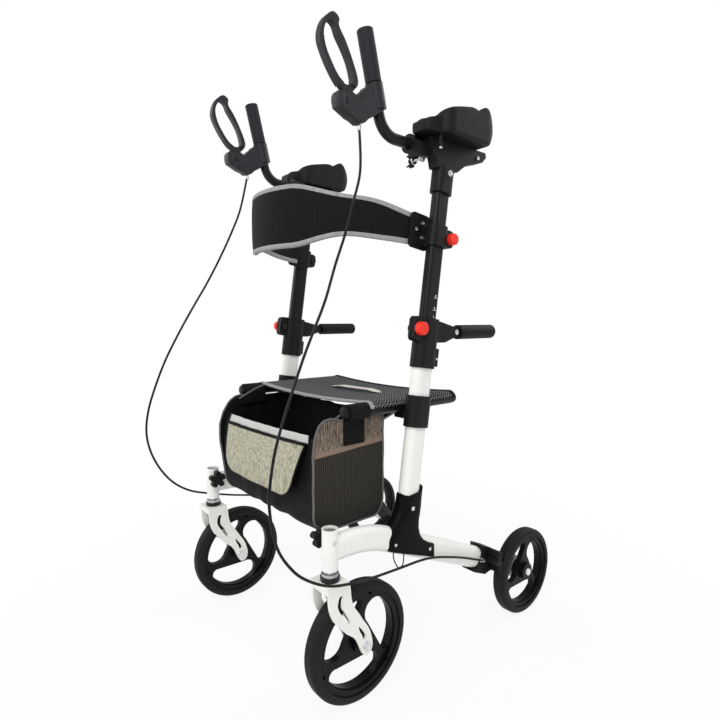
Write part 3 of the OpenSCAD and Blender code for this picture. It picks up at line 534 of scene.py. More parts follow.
@dataclass(frozen=True)
class NetCloth(Finish):
    """Warp-knit mesh in zigzag rows, read on the cloth's own map in metres."""

    dark: Colour
    light: Colour
    pitch: float = 0.006
    row: float = 0.009

    def lay(self, s: Shader) -> None:
        """Bends straight ribs into a zigzag.

        Args:
            s: The material under construction.
        """
        split = s.node("ShaderNodeSeparateXYZ")
        s.tree.links.new(s.place(uv=True), split.inputs[0])
        zigzag = s.math("PINGPONG", split.outputs["Y"], self.row)
        slant = s.math("ADD", split.outputs["X"], zigzag)
        turn = s.math("MULTIPLY", slant, 2 * math.pi / self.pitch)
        rib = s.between(s.math("SINE", turn, 0.0), 0.0, 1.0)
        rib.node.inputs["From Min"].default_value = -1.0
        yarn = s.noise(1400, 2, s.place(uv=True))
        s.colours(s.blend(rib, yarn, 0.75), (0.5, self.dark), (0.8, self.light))
        s.relief([(rib, 0.0005), (yarn, 0.0002)])
        s.fix(Roughness=0.85, Specular_IOR_Level=0.15)


@dataclass(frozen=True)
class Weave(Finish):
    """Plain woven tape, nylon or knit: a small over-and-under bump with soft sheen."""

    dark: Colour
    light: Colour
    yarn: float = 0.0008
    rough: float = 0.8
    crease: float = 0.0

    def lay(self, s: Shader) -> None:
        """Crosses rows and lines of yarn, with creases if there are any.

        Args:
            s: The material under construction.
        """
        rows = s.wave(s.place(), self.yarn, "Z")
        lines = s.wave(s.place(turn=(0, 0, 45)), self.yarn)
        cloth = s.math("MULTIPLY", rows, lines)
        s.colours(s.blend(cloth, s.noise(160, 4), 0.45), (0.25, self.dark), (0.7, self.light))
        bumps = [(cloth, 0.0002)]
        if self.crease:
            bumps.append((s.noise(26, 5), self.crease))
        s.relief(bumps)
        s.fix(Roughness=self.rough, Specular_IOR_Level=0.18)


@dataclass(frozen=True)
class Hide(Finish):
    """Moulded foam skin with a fine leather grain."""

    colour: Colour
    light: Colour

    def lay(self, s: Shader) -> None:
        """Lays a grain of small cells.

        Args:
            s: The material under construction.
        """
        cells = s.node("ShaderNodeTexVoronoi", feature="DISTANCE_TO_EDGE")
        cells.inputs["Scale"].default_value = 620
        s.tree.links.new(s.place(), cells.inputs["Vector"])
        s.colours(s.noise(40, 4), (0.3, self.colour), (0.75, self.light))
        s.gloss(90, 0.5, 0.66)
        s.relief([(cells.outputs["Distance"], 0.00018), (s.noise(900, 2), 0.00005)])
        s.fix(Specular_IOR_Level=0.2)


@dataclass(frozen=True)
class TreadRubber(Finish):
    """Tyre rubber: fine grain, dusty in patches."""

    colour: Colour
    dust: Colour

    def lay(self, s: Shader) -> None:
        """Lays dust and grain over rounded edges.

        Args:
            s: The material under construction.
        """
        s.colours(s.noise(60, 5), (0.45, self.colour), (0.85, self.dust))
        s.gloss(140, 0.55, 0.75)
        s.relief([(s.noise(1100, 2), 0.0001)], 0.0015)
        s.fix(Specular_IOR_Level=0.25)


class Palette:
    """All finishes of the walker, made once."""

    def __init__(self) -> None:
        """Makes each material."""
        ink, zinc = (0.06, 0.062, 0.066), (0.78, 0.78, 0.79)
        self.white = Enamel("frame_enamel", (0.945, 0.943, 0.925), (0.932, 0.93, 0.912)).make()
        self.tube = Enamel("black_tube", (0.085, 0.085, 0.09), (0.07, 0.07, 0.075), 0.38, 0.22, 0.0).make()
        self.plastic = Moulding("moulded_black", ink, (0.085, 0.087, 0.092)).make()
        self.shoe = Moulding("shoe_black", (0.025, 0.027, 0.028), (0.04, 0.042, 0.043), shine=0.09).make()
        lever = (0.145, 0.148, 0.165), (0.18, 0.183, 0.2)
        self.lever = Moulding("lever_black", *lever, 0.42, shine=0.25).make()
        self.red = TwoTone("knob_red", "X", KNOB_FACE_X, ink, (0.94, 0.2, 0.14)).make()
        self.cuff = TwoTone("caster_cuff", "Z", CUFF_Z, ink, zinc, 1.0).make()
        rim = (0.03, 0.036, 0.042), (0.05, 0.056, 0.062)
        self.rim = Moulding("rim_black", *rim, 0.42, 0.00004, shine=0.15).make()
        self.tyre = TreadRubber("tyre_rubber", (0.055, 0.058, 0.062), (0.09, 0.09, 0.09)).make()
        self.grip = Knurl("grip_rubber", (0.06, 0.06, 0.064), (0.1, 0.1, 0.105)).make()
        self.hand = Knurl("hand_rubber", (0.13, 0.13, 0.145), (0.21, 0.21, 0.23)).make()
        self.steel = BareMetal("zinc_steel", zinc).make()
        self.plug = Moulding("plug_grey", (0.42, 0.42, 0.43), (0.5, 0.5, 0.51), 0.55).make()
        jacket = (0.045, 0.045, 0.05), (0.07, 0.07, 0.075)
        self.cable = Moulding("cable_jacket", *jacket, 0.4, 0.00003, 0).make()
        self.pad = Hide("pad_skin", (0.05, 0.053, 0.06), (0.072, 0.076, 0.086)).make()
        self.band = Weave("band_knit", (0.05, 0.05, 0.05), (0.085, 0.085, 0.085), 0.0011).make()
        self.tape = Weave("edge_tape", (0.55, 0.55, 0.55), (0.7, 0.7, 0.695), 0.0012).make()
        self.piping = Weave("bag_piping", (0.36, 0.355, 0.355), (0.47, 0.465, 0.46), 0.0012).make()
        self.silver = Weave("silver_tape", (0.72, 0.72, 0.7), (0.86, 0.86, 0.85), 0.0012, 0.5, 0.004).make()
        self.cream = Weave("cream_webbing", (0.78, 0.77, 0.73), (0.9, 0.89, 0.85), 0.0014).make()
        nylon = (0.03, 0.03, 0.033), (0.05, 0.05, 0.055)
        self.nylon = Weave("black_nylon", *nylon, 0.0007, 0.7, 0.006).make()
        sand = (0.44, 0.43, 0.365), (0.68, 0.67, 0.585), (0.84, 0.83, 0.75)
        self.flap = Heather("flap_melange", *sand).make()
        tan = (0.2, 0.175, 0.155), (0.46, 0.41, 0.36), (0.64, 0.575, 0.51)
        self.tan = Heather("side_melange", *tan).make()
        self.hem = Weave("hem_tape", (0.5, 0.43, 0.37), (0.6, 0.525, 0.46), 0.0012).make()
        self.net = NetCloth("pocket_net", (0.06, 0.058, 0.055), (0.33, 0.316, 0.296), 0.0044, 0.0026).make()
        self.seat = NetCloth("seat_net", (0.03, 0.03, 0.034), (0.5, 0.5, 0.51), 0.0074, 0.0105).make()
        self.tick = Moulding("scale_white", (0.85, 0.85, 0.84), (0.93, 0.93, 0.92), 0.5, 0.00002, 0).make()


def clamp(value: float) -> float:
    """Keeps a value within 0 and 1."""
    return min(1.0, max(0.0, value))


def piece(name: str, points: Sequence[Sequence[float]], faces: Sequence[Sequence[int]]) -> Obj:
    """Makes a mesh object at the origin with smooth faces.

    Args:
        name: Name of the piece.
        points: Corners in metres.
        faces: Faces as lists of corners.

    Returns:
        The new object.
    """
    mesh = bpy.data.meshes.new(name)
    mesh.from_pydata([tuple(p) for p in points], [], [tuple(f) for f in faces])
    mesh.validate()
    mesh.update()
    made = bpy.data.objects.new(name, mesh)
    bpy.context.scene.collection.objects.link(made)
    mesh.polygons.foreach_set("use_smooth", [True] * len(mesh.polygons))
    return made


def outward(made: Obj) -> None:
    """Merges doubles and turns the faces of a closed piece outward.

    Args:
        made: The closed piece.
    """
    bm = bmesh.new()
    bm.from_mesh(made.data)
    bmesh.ops.remove_doubles(bm, verts=bm.verts, dist=MERGE)
    bmesh.ops.recalc_face_normals(bm, faces=bm.faces)
    bm.to_mesh(made.data)
    bm.free()
    made.data.update()


def copy_node(source: Obj, name: str) -> Obj:
    """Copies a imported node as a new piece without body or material.

    Args:
        source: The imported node.
        name: Name of the piece.

    Returns:
        The copy.
    """
    made = source.copy()
    made.data = source.data.copy()
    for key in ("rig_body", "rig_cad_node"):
        del made[key]
    made.parent = None
    made.name = name
    bpy.context.scene.collection.objects.link(made)
    made.data.materials.clear()
    return made


def open_ring(name: str, places: Sequence[Sequence[float]]) -> Obj:
    """Adds a filled ring through places, in edit mode with all selected.

    Args:
        name: Name of the piece.
        places: Corners in metres.

    Returns:
        The new object.
    """
    bpy.ops.object.select_all(action="DESELECT")
    bpy.ops.mesh.primitive_circle_add(vertices=len(places), fill_type="NGON")
    made = bpy.context.active_object
    made.name = name
    bpy.ops.object.mode_set(mode="EDIT")
    bm = bmesh.from_edit_mesh(made.data)
    bm.verts.ensure_lookup_table()
    for vertex, place in zip(bm.verts, places):
        vertex.co = place
    bmesh.update_edit_mesh(made.data)
    bpy.ops.mesh.select_all(action="SELECT")
    return made


def close(made: Obj) -> Obj:
    """Leaves edit mode with smooth faces and sharp edges kept.

    Args:
        made: The piece in edit mode.

    Returns:
        The piece.
    """
    bpy.ops.object.mode_set(mode="OBJECT")
    bpy.ops.object.shade_smooth_by_angle(angle=SHARP)
    return made


def loft(name: str, rings: Sequence[Sequence[Sequence[float]]]) -> Obj:
    """Skins closed rings of equal count and caps both ends.

    Args:
        name: Name of the piece.
        rings: Rings of points in metres.

    Returns:
        The closed piece.
    """
    count, total = len(rings[0]), len(rings)
    points = [p for ring in rings for p in ring]
    faces: list[list[int]] = [list(range(count))[::-1], list(range((total - 1) * count, total * count))]
    for i in range(total - 1):
        for j in range(count):
            k = (j + 1) % count
            faces.append([i * count + j, i * count + k, (i + 1) * count + k, (i + 1) * count + j])
    made = piece(name, points, faces)
    outward(made)
    return made


def sweep(name: str, path: np.ndarray, profile: Callable[[float], np.ndarray], up: Point) -> Obj:
    """Sweeps a profile along a path.

    Args:
        name: Name of the piece.
        path: Points in metres, one a row.
        profile: Gives the profile's points (across, along up) at a share of the path.
        up: Direction that the profile's second axis keeps to.

    Returns:
        The closed piece.
    """
    rings = []
    for i, p in enumerate(path):
        ahead = path[min(i + 1, len(path) - 1)] - path[max(i - 1, 0)]
        ahead = ahead / np.linalg.norm(ahead)
        across = np.cross(ahead, up)
        across = across / np.linalg.norm(across)
        lift = np.cross(across, ahead)
        rings.append([p + a * across + b * lift for a, b in profile(i / (len(path) - 1))])
    return loft(name, rings)


def disc(radius: float, sides: int, flat: float = 1.0) -> np.ndarray:
    """Points of a circle or, with flat below 1, of an ellipse."""
    turn = np.linspace(0, 2 * math.pi, sides, endpoint=False)
    return np.stack([radius * np.cos(turn), flat * radius * np.sin(turn)], 1)


def slab(width: float, height: float, power: float = 4.0, sides: int = 20) -> np.ndarray:
    """Points of a rounded rectangle as a superellipse.

    Args:
        width: Width in metres.
        height: Height in metres.
        power: How square it is; 2 gives an ellipse.
        sides: Count of points.

    Returns:
        Points (across, up), one a row.
    """
    turn = np.linspace(0, 2 * math.pi, sides, endpoint=False)
    c, s = np.cos(turn), np.sin(turn)
    grow = 2 / power
    return np.stack([width / 2 * np.sign(c) * abs(c) ** grow, height / 2 * np.sign(s) * abs(s) ** grow], 1)


def round_corner(near: float, radius: float) -> float:
    """How far a round corner draws in at a distance from its side.

    Args:
        near: Distance from the side.
        radius: Radius of the corner.

    Returns:
        The distance, which is zero beyond the corner.
    """
    if near >= radius:
        return 0.0
    return radius - math.sqrt(max(0.0, radius**2 - (radius - near) ** 2))


def smooth_path(points: Sequence[Sequence[float]], steps: int) -> np.ndarray:
    """Runs a smooth curve through points.

    Args:
        points: Points to pass, in metres.
        steps: Points in each stretch.

    Returns:
        Points on the curve, one a row.
    """
    p = np.asarray(points, float)
    made = []
    for i in range(len(p) - 1):
        a, b, c, d = p[max(i - 1, 0)], p[i], p[i + 1], p[min(i + 2, len(p) - 1)]
        for t in np.arange(steps) / steps:
            bend = (2 * a - 5 * b + 4 * c - d) * t**2 + (3 * b - a - 3 * c + d) * t**3
            made.append((2 * b + (c - a) * t + bend) / 2)
    return np.array([*made, p[-1]])


def grid(name: str, rows: Sequence[Sequence[Point]], uv: Callable[[int, int], tuple]) -> Obj:
    """Makes an open sheet from rows of points.

    Args:
        name: Name of the piece.
        rows: Rows of points in metres.
        uv: Gives the map's place of a row and column, in metres.

    Returns:
        The sheet.
    """
    wide = len(rows[0])
    faces = [
        [i * wide + j, i * wide + j + 1, (i + 1) * wide + j + 1, (i + 1) * wide + j]
        for i in range(len(rows) - 1)
        for j in range(wide - 1)
    ]
    made = piece(name, [p for row in rows for p in row], faces)
    layer = made.data.uv_layers.new(name="cut")
    for loop in made.data.loops:
        layer.data[loop.index].uv = uv(loop.vertex_index // wide, loop.vertex_index % wide)
    return made


def thicken(made: Obj, thickness: float, offset: float = 0.0, lining: int = 0) -> None:
    """Gives a sheet its thickness.

    Args:
        made: The sheet.
        thickness: Thickness in metres.
        offset: Where the sheet lies in it, from -1 to 1.
        lining: Step from a face's material to that of its back.
    """
    modifier = made.modifiers.new("thickness", "SOLIDIFY")
    modifier.thickness, modifier.offset, modifier.material_offset = thickness, offset, lining
    modifier.use_even_offset = True
    apply_modifiers(made)


def apply_modifiers(made: Obj) -> None:
    """Applies all modifiers of a piece.

    Args:
        made: The piece.
    """
    bpy.ops.object.select_all(action="DESELECT")
    made.select_set(True)
    bpy.context.view_layer.objects.active = made
    for modifier in list(made.modifiers):
        bpy.ops.object.modifier_apply(modifier=modifier.name)


def dress(made: Obj, finish: Material, body: str) -> Obj:
    """Gives a piece its material and body.

    Args:
        made: The piece.
        finish: Its material, unless it has some.
        body: The body that it rides on.

    Returns:
        The piece.
    """
    if not made.data.materials:
        made.data.materials.append(finish)
    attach(made, body)
    log.info("%s on %s: %d faces", made.name, body, len(made.data.polygons))
    return made


@dataclass
class Studio:
    """Camera at the photograph's place, pale floor and soft light."""

    eye: Point = (0.958, -0.841, 0.723)
    yaw: float = 49.75
    pitch: float = 4.5
    lens: float = 25.42
    sensor: float = 36.0
    near: float = 0.02
    aim: Point = (0, -0.05, 0.6)
    floor_size: float = 30.0
    floor_colour: Colour = (0.93, 0.93, 0.93)
    shadow_show: float = 0.88
    shadow_fade: tuple[float, float] = (0.55, 1.3)
    sky: float = 0.55

    def build(self) -> None:
        """Makes camera, floor, lamps and world."""
        self.camera()
        self.floor()
        for name, where, size, power in LAMPS:
            self.lamp(name, where, size, power)
        self.world()
        bpy.context.scene.view_settings.view_transform = "Standard"

    def camera(self) -> None:
        """Makes the camera."""
        data = bpy.data.cameras.new("camera")
        data.lens, data.sensor_width, data.sensor_fit = self.lens, self.sensor, "HORIZONTAL"
        data.clip_start = self.near
        camera = bpy.data.objects.new("camera", data)
        camera.location = self.eye
        camera.rotation_euler = (math.radians(90 - self.pitch), 0, math.radians(self.yaw))
        bpy.context.scene.collection.objects.link(camera)
        bpy.context.scene.camera = camera

    def lamp(self, name: str, where: Point, size: float, power: float) -> None:
        """Makes a square lamp that faces the walker.

        Args:
            name: Name of the lamp.
            where: Its place.
            size: Length of a side.
            power: Power in watts.
        """
        data = bpy.data.lights.new(name, "AREA")
        data.size, data.energy = size, power
        lamp = bpy.data.objects.new(name, data)
        lamp.location = where
        lamp.rotation_euler = (Vector(self.aim) - Vector(where)).to_track_quat("-Z", "Y").to_euler()
        bpy.context.scene.collection.objects.link(lamp)

    def floor(self) -> None:
        """Makes the pale floor, which shows white and keeps a soft shadow."""
        bpy.ops.object.select_all(action="DESELECT")
        bpy.ops.mesh.primitive_plane_add(size=self.floor_size)
        made = bpy.context.active_object
        made.name = "floor"
        s = Shader("floor_white")
        s.fix(Roughness=0.9, Base_Color=srgb(self.floor_colour))
        out = s.tree.nodes["Material Output"]
        glow = s.node("ShaderNodeEmission")
        mix = s.node("ShaderNodeMixShader")
        reach = s.node("ShaderNodeVectorMath", operation="LENGTH")
        s.tree.links.new(s.place(), reach.inputs[0])
        fade = s.between(reach.outputs["Value"], self.shadow_show, 1.0)
        for key, reached in zip(("From Min", "From Max"), self.shadow_fade):
            fade.node.inputs[key].default_value = reached
        s.tree.links.new(s.math("MULTIPLY", self.seen(s), fade), mix.inputs["Fac"])
        s.tree.links.new(s.surface.outputs[0], mix.inputs[1])
        s.tree.links.new(glow.outputs[0], mix.inputs[2])
        s.tree.links.new(mix.outputs[0], out.inputs["Surface"])
        made.data.materials.append(s.material)

    @staticmethod
    def seen(s: Shader) -> Socket:
        """A value of 1 for rays of sight, mirror and glass.

        Args:
            s: The material under construction.

        Returns:
            The socket of the value.
        """
        path = s.node("ShaderNodeLightPath")
        gloss = s.math("MAXIMUM", path.outputs["Is Camera Ray"], path.outputs["Is Glossy Ray"])
        return s.math("MAXIMUM", gloss, path.outputs["Is Transmission Ray"])

    def world(self) -> None:
        """Makes a white world that lights softly."""
        world = bpy.data.worlds.new("studio")
        world.use_nodes = True
        tree = world.node_tree
        back = tree.nodes["Background"]
        back.inputs["Color"].default_value = (1, 1, 1, 1)
        path = tree.nodes.new("ShaderNodeLightPath")
        most = tree.nodes.new("ShaderNodeMath")
        most.operation = "MAXIMUM"
        tree.links.new(path.outputs["Is Camera Ray"], most.inputs[0])
        tree.links.new(path.outputs["Is Transmission Ray"], most.inputs[1])
        level = tree.nodes.new("ShaderNodeMapRange")
        level.inputs["To Min"].default_value = self.sky
        level.inputs["To Max"].default_value = 1.0
        tree.links.new(most.outputs[0], level.inputs["Value"])
        tree.links.new(level.outputs["Result"], back.inputs["Strength"])
        bpy.context.scene.world = world


@dataclass
class FrameDressing:
    """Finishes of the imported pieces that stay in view."""

    palette: Palette

    def rules(self) -> dict[str, Material]:
        """Finish of each kind of node, by the start of its name.

        Returns:
            Materials by the start of a node's name.
        """
        p = self.palette
        return {
            "base_tube": p.white, "outer_post": p.white, "caster_fork": p.white,
            "inner_post": p.tube, "handlebar": p.tube, "x_brace": p.tube,
            "height_knob": p.red, "backrest_knob": p.red, "caster_collar": p.cuff,
            "caster_pins": p.steel, "cross_pin": p.steel,
            "front_tyre": p.tyre, "rear_tyre": p.tyre, "front_rim": p.rim, "rear_rim": p.rim,
            "hand_grip": p.hand, "push_handle": p.grip, "brake_lever": p.lever, "lever_housing": p.lever,
        }

    def build(self, nodes: dict[str, Obj]) -> None:
        """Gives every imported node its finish.

        Args:
            nodes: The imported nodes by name.
        """
        rules = self.rules()
        for name, node in nodes.items():
            finish = next((m for start, m in rules.items() if name.startswith(start)), self.palette.plastic)
            node.data.materials.clear()
            node.data.materials.append(finish)
            log.info("%s has %s", name, finish.name)


@dataclass
class BrakeCable:
    """A brake cable in two stretches: an upper one from the lever and a lower one down to the base tube."""

    side: Side
    route: Sequence[Point]
    finish: Material
    split: int = 3
    diameter: float = 0.005
    steps: int = 6
    sides: int = 12
    post_held: int = 8

    def build(self) -> None:
        points = np.array([*self.route, *CABLE_TAIL], float) * (self.side.value, 1, 1) * MM
        line = smooth_path(points, self.steps)
        cut = self.split * self.steps
        label = self.side.label
        upper, lower = line[: cut + 1], line[cut:]
        self.stretch(f"cable_upper_{label}", upper, Body.HANDLE, Body.UPPER, upper[0], upper[-self.post_held])
        halfway = lower[len(lower) // 2]
        self.stretch(f"cable_lower_{label}", lower, Body.UPPER, Body.FRAME, lower[self.steps], halfway)

    def stretch(
        self, name: str, line: np.ndarray, first: Body, last: Body, start: np.ndarray, end: np.ndarray
    ) -> None:
        """Makes one stretch.

        Args:
            name: Name of the piece.
            line: Its centre line.
            first: Not used.
            last: Not used.
            start: Not used.
            end: Not used.
        """
        made = sweep(name, line, lambda share: disc(self.diameter / 2, self.sides), (1, 0, 0))
        made.data.materials.append(self.finish)
        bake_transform(made)
        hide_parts(f"brake_cable_{self.side.label}")


@dataclass
class LowerBracket:
    """Moulded shoe round post and base tube: a flowing shell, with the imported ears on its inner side."""

    side: Side
    finish: Material
    half: float = 0.0182
    ears: float = 0.2286
    dip: float = 0.006
    post: tuple[float, float] = (0.01465, 0.02415)
    floor: float = 0.09
    sides: int = 40

    def rings(self) -> list[list[Vector]]:
        """Rings of the shell from the foot to the rim round the post.

        Returns:
            Rings of equal count.
        """
        made = []
        last = len(BRACKET_RINGS) - 1
        for i, (front_y, front_z, rear_y, rear_z, power) in enumerate(BRACKET_RINGS):
            front, rear = Vector((0, front_y, front_z)) * MM, Vector((0, rear_y, rear_z)) * MM
            middle, reach = (front + rear) / 2, (rear - front) / 2
            ring = []
            for along, across in slab(2.0, 2.0, power, self.sides):
                sink = self.dip * across**2 if i == last else 0.0
                side_x = self.side.value * (FRAME_X + self.half * across)
                ring.append(middle + reach * along + Vector((side_x, 0, -sink)))
            made.append(ring)
        return [*made, *self.pocket()]

    def pocket(self) -> list[list[Vector]]:
        """Rings of the pocket round the post: its mouth in the rim and its floor.

        Returns:
            The two rings.
        """
        up, back = Vector(POST_UP), Vector(POST_BACK)
        wide, long = self.post
        front_y, front_z, rear_y, rear_z = [v * MM for v in BRACKET_RINGS[-1][:4]]
        slope = (rear_z - front_z) / (rear_y - front_y)
        mouth, floor = [], []
        for along, across in disc(1.0, self.sides):
            reach = float(np.sign(round(along, 9))) * (long - wide) + wide * along
            side_x = Vector((self.side.value * (FRAME_X + wide * across), 0, 0))
            foot = Vector(POST_FOOT) + back * reach + side_x
            rim_y = foot.y + up.y * (front_z - foot.z)
            rim_z = front_z + (rim_y - front_y) * slope - self.dip * across**2
            mouth.append(foot + up * ((rim_z - foot.z) / up.z))
            floor.append(foot + up * self.floor)
        return [mouth, floor]

    def shell(self) -> Obj:
        """Draws the shell up from its foot, ring by ring.

        Returns:
            The closed shell.
        """
        rings = self.rings()
        made = open_ring(f"bracket_shell_{self.side.label}", rings[0])
        for before, ring in zip(rings, rings[1:]):
            bpy.ops.mesh.extrude_region_move()
            bm = bmesh.from_edit_mesh(made.data)
            for vertex in [v for v in bm.verts if v.select]:
                spot = min(range(self.sides), key=lambda k: (vertex.co - before[k]).length)
                vertex.co = ring[spot]
            bmesh.update_edit_mesh(made.data)
        bpy.ops.mesh.select_all(action="SELECT")
        bpy.ops.mesh.normals_make_consistent(inside=False)
        return close(made)

    def lugs(self, source: Obj) -> Obj:
        """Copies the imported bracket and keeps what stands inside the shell: ears and pin.

        Args:
            source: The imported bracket.

        Returns:
            Ears and pin as one piece.
        """
        made = copy_node(source, f"bracket_ears_{self.side.label}")
        bm = bmesh.new()
        bm.from_mesh(made.data)
        bmesh.ops.remove_doubles(bm, verts=bm.verts, dist=MERGE)
        out = Vector((self.side.value, 0, 0))
        every = [*bm.verts, *bm.edges, *bm.faces]
        cut = bmesh.ops.bisect_plane(bm, geom=every, plane_co=out * self.ears, plane_no=out, clear_outer=True)
        rim = [e for e in cut["geom_cut"] if isinstance(e, bmesh.types.BMEdge)]
        bmesh.ops.holes_fill(bm, edges=rim, sides=0)
        bmesh.ops.recalc_face_normals(bm, faces=bm.faces)
        bm.to_mesh(made.data)
        bm.free()
        made.data.update()
        return made

    def build(self, nodes: dict[str, Obj]) -> None:
        """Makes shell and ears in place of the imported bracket.

        Args:
            nodes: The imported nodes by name.
        """
        source = f"lower_bracket_{self.side.label}"
        for made in (self.shell(), self.lugs(nodes[source])):
            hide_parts(source)
            dress(made, self.finish, Body.FRAME.on(self.side))


@dataclass
class ForearmPad:
    """Moulded forearm trough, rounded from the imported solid."""

    side: Side
    finish: Material
    voxel: float = 0.0024
    rounds: int = 14
    rear: tuple[float, float] = (0.78, 0.22)
    draw: tuple[float, float] = (0.006, 0.013)
    tongue: tuple[float, float] = (0.14, 0.008)
    hollow: Point = (0.0055, 0.7, 0.06)
    hump: Point = (0.0035, 0.87, 0.08)

    def build(self, nodes: dict[str, Obj]) -> None:
        """Args:
            nodes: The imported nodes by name.
        """
        source = f"forearm_pad_{self.side.label}"
        made = copy_node(nodes[source], f"pad_{self.side.label}")
        outward(made)
        remesh = made.modifiers.new("skin", "REMESH")
        remesh.mode, remesh.voxel_size, remesh.use_smooth_shade = "VOXEL", self.voxel, True
        soften = made.modifiers.new("soften", "SMOOTH")
        soften.factor, soften.iterations = 0.5, self.rounds
        apply_modifiers(made)
        self.shape(made)
        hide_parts(source)
        dress(made, self.finish, Body.UPPER.on(self.side))

    def shape(self, made: Obj) -> None:
        """Swells the rear end, hollows the top before it and draws out the front tongue.

        Args:
            made: The rounded pad.
        """
        places = np.array([v.co for v in made.data.vertices])
        low, high = places.min(0), places.max(0)
        _, along, tall = ((places - low) / (high - low)).T

        def bell(most: float, middle: float, width: float) -> np.ndarray:
            """A smooth rise round one place along the pad."""
            return most * np.exp(-(((along - middle) / width) ** 2))

        rear = np.clip((along - self.rear[0]) / self.rear[1], 0, 1)
        front = np.clip(1 - along / self.tongue[0], 0, 1)
        up = 2 * tall - 1
        places[:, 1] += rear * (self.draw[0] - self.draw[1] * up**2) - self.tongue[1] * front
        places[:, 2] += np.clip(up, 0, 1) * (bell(*self.hump) - bell(*self.hollow))
        for vertex, place in zip(made.data.vertices, places):
            vertex.co = place
        made.data.update()


@dataclass
class BackBand:
    """Padded back band with taped edges, bowed forward between the posts."""

    palette: Palette
    reach: float = 0.2202
    line_y: float = -0.066
    bow: float = 0.224
    straight: float = 0.026
    height: float = 0.126
    end_height: float = 0.08
    tip: float = 0.2
    thickness: float = 0.015
    end_thickness: float = 0.005
    base_z: float = 0.908
    rise: float = 0.023
    tape: float = 0.0115
    keep: float = 0.383
    bow_power: float = 1.3
    full: tuple[float, float] = (0.78, 0.45)
    round_off: tuple[float, float] = (0.84, 0.16)
    thin_out: tuple[float, float] = (0.97, 6.0)
    inset: float = 0.004
    pad_powers: tuple[float, float] = (0.55, 0.7)
    tape_share: float = 0.62
    tape_over: float = 0.0028

    def spine(self, count: int = 81) -> list[tuple[np.ndarray, float, float]]:
        """Centre line with the band's height and thickness at each point.

        Args:
            count: Points of the bow.

        Returns:
            Centre, height and thickness of each station.
        """
        stations = []
        turns = np.radians(np.linspace(-90, 90, count))
        line = [(-self.reach, self.line_y + self.straight)]
        for a in turns:
            bow = self.bow * max(math.cos(a), 0.0) ** self.bow_power
            line.append((self.reach * math.sin(a), self.line_y - bow))
        line += [(self.reach, self.line_y + self.straight)]
        for x, y in line:
            q = abs(x) / self.reach
            wide = clamp((self.full[0] - q) / self.full[1])
            full = wide * wide * (3 - 2 * wide)
            height = self.end_height + (self.height - self.end_height) * full
            height *= 1 - self.tip * max(0.0, (q - self.round_off[0]) / self.round_off[1]) ** 2
            swell = min(1.0, self.thin_out[1] * max(0.0, self.thin_out[0] - q))
            thick = self.end_thickness + (self.thickness - self.end_thickness) * swell
            stations.append((np.array([x, y, self.base_z + self.rise * (1 - q**8)]), height, thick))
        return stations

    def rings(self, shape: Callable[[float, float], np.ndarray], cut: int = 0) -> list:
        """Rings of a section along the band.

        Args:
            shape: Gives the section's points (through the band, up) from height and thickness.
            cut: Stations left off at each end.

        Returns:
            The rings.
        """
        stations = self.spine()
        made = []
        for i in range(cut, len(stations) - cut):
            centre, height, thick = stations[i]
            ahead = stations[min(i + 1, len(stations) - 1)][0] - stations[max(i - 1, 0)][0]
            ahead[2] = 0
            ahead /= np.linalg.norm(ahead)
            out = np.array([ahead[1], -ahead[0], 0])
            made.append([centre + a * out + np.array([0, 0, b]) for a, b in shape(height, thick)])
        return made

    def build(self) -> None:
        """Builds the pad and its two taped edges."""
        pad = loft("back_band", self.rings(lambda h, t: self.section(h - self.inset, t)))
        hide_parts("backrest")
        self.finish(pad, self.palette.band)
        for name, sign in (("band_tape_upper", 1), ("band_tape_lower", -1)):
            edge = loft(name, self.rings(lambda h, t, sign=sign: self.edging(h, t, sign), 2))
            self.finish(edge, self.palette.tape)

    def section(self, height: float, thick: float) -> np.ndarray:
        """Section of the pad: full in the middle, drawn in at the taped edges.

        Args:
            height: Height of the pad.
            thick: Its thickness.

        Returns:
            Points (through the band, up), one a row.
        """
        turn = np.linspace(0, 2 * math.pi, 32, endpoint=False)
        c, s = np.cos(turn), np.sin(turn)
        through, up = self.pad_powers
        across = thick / 2 * np.sign(c) * abs(c) ** through
        tall = height / 2 * np.sign(s) * abs(s) ** up
        return np.stack([across, tall], 1)

    def edging(self, height: float, thick: float, sign: int) -> np.ndarray:
        """Section of the tape over one edge.

        Args:
            height: Height of the band.
            thick: Its thickness.
            sign: 1 for the upper edge, -1 for the lower one.

        Returns:
            Points (through the band, up), one a row.
        """
        points = slab(self.tape_share * thick + self.tape_over, self.tape, 3.2, 16)
        points[:, 1] += sign * (height / 2 - self.tape / 2)
        return points

    def finish(self, made: Obj, material: Material) -> None:
        """Dresses a piece of the band."""
        dress(made, material, Body.BACK.on(Side.LEFT))
        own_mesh(made)


@dataclass
class Sling:
    """What hangs between the seat rails."""

    palette: Palette
    rail_x: float = RAIL_X
    rail_z: float = RAIL_Z
    wrap: float = 0.0133
    keep: float = 0.359

    def hang(self, made: Obj, material: Material, slot: str) -> Obj:
        """Dresses a piece of the sling."""
        dress(made, material, Body.SLING.on())
        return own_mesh(made)


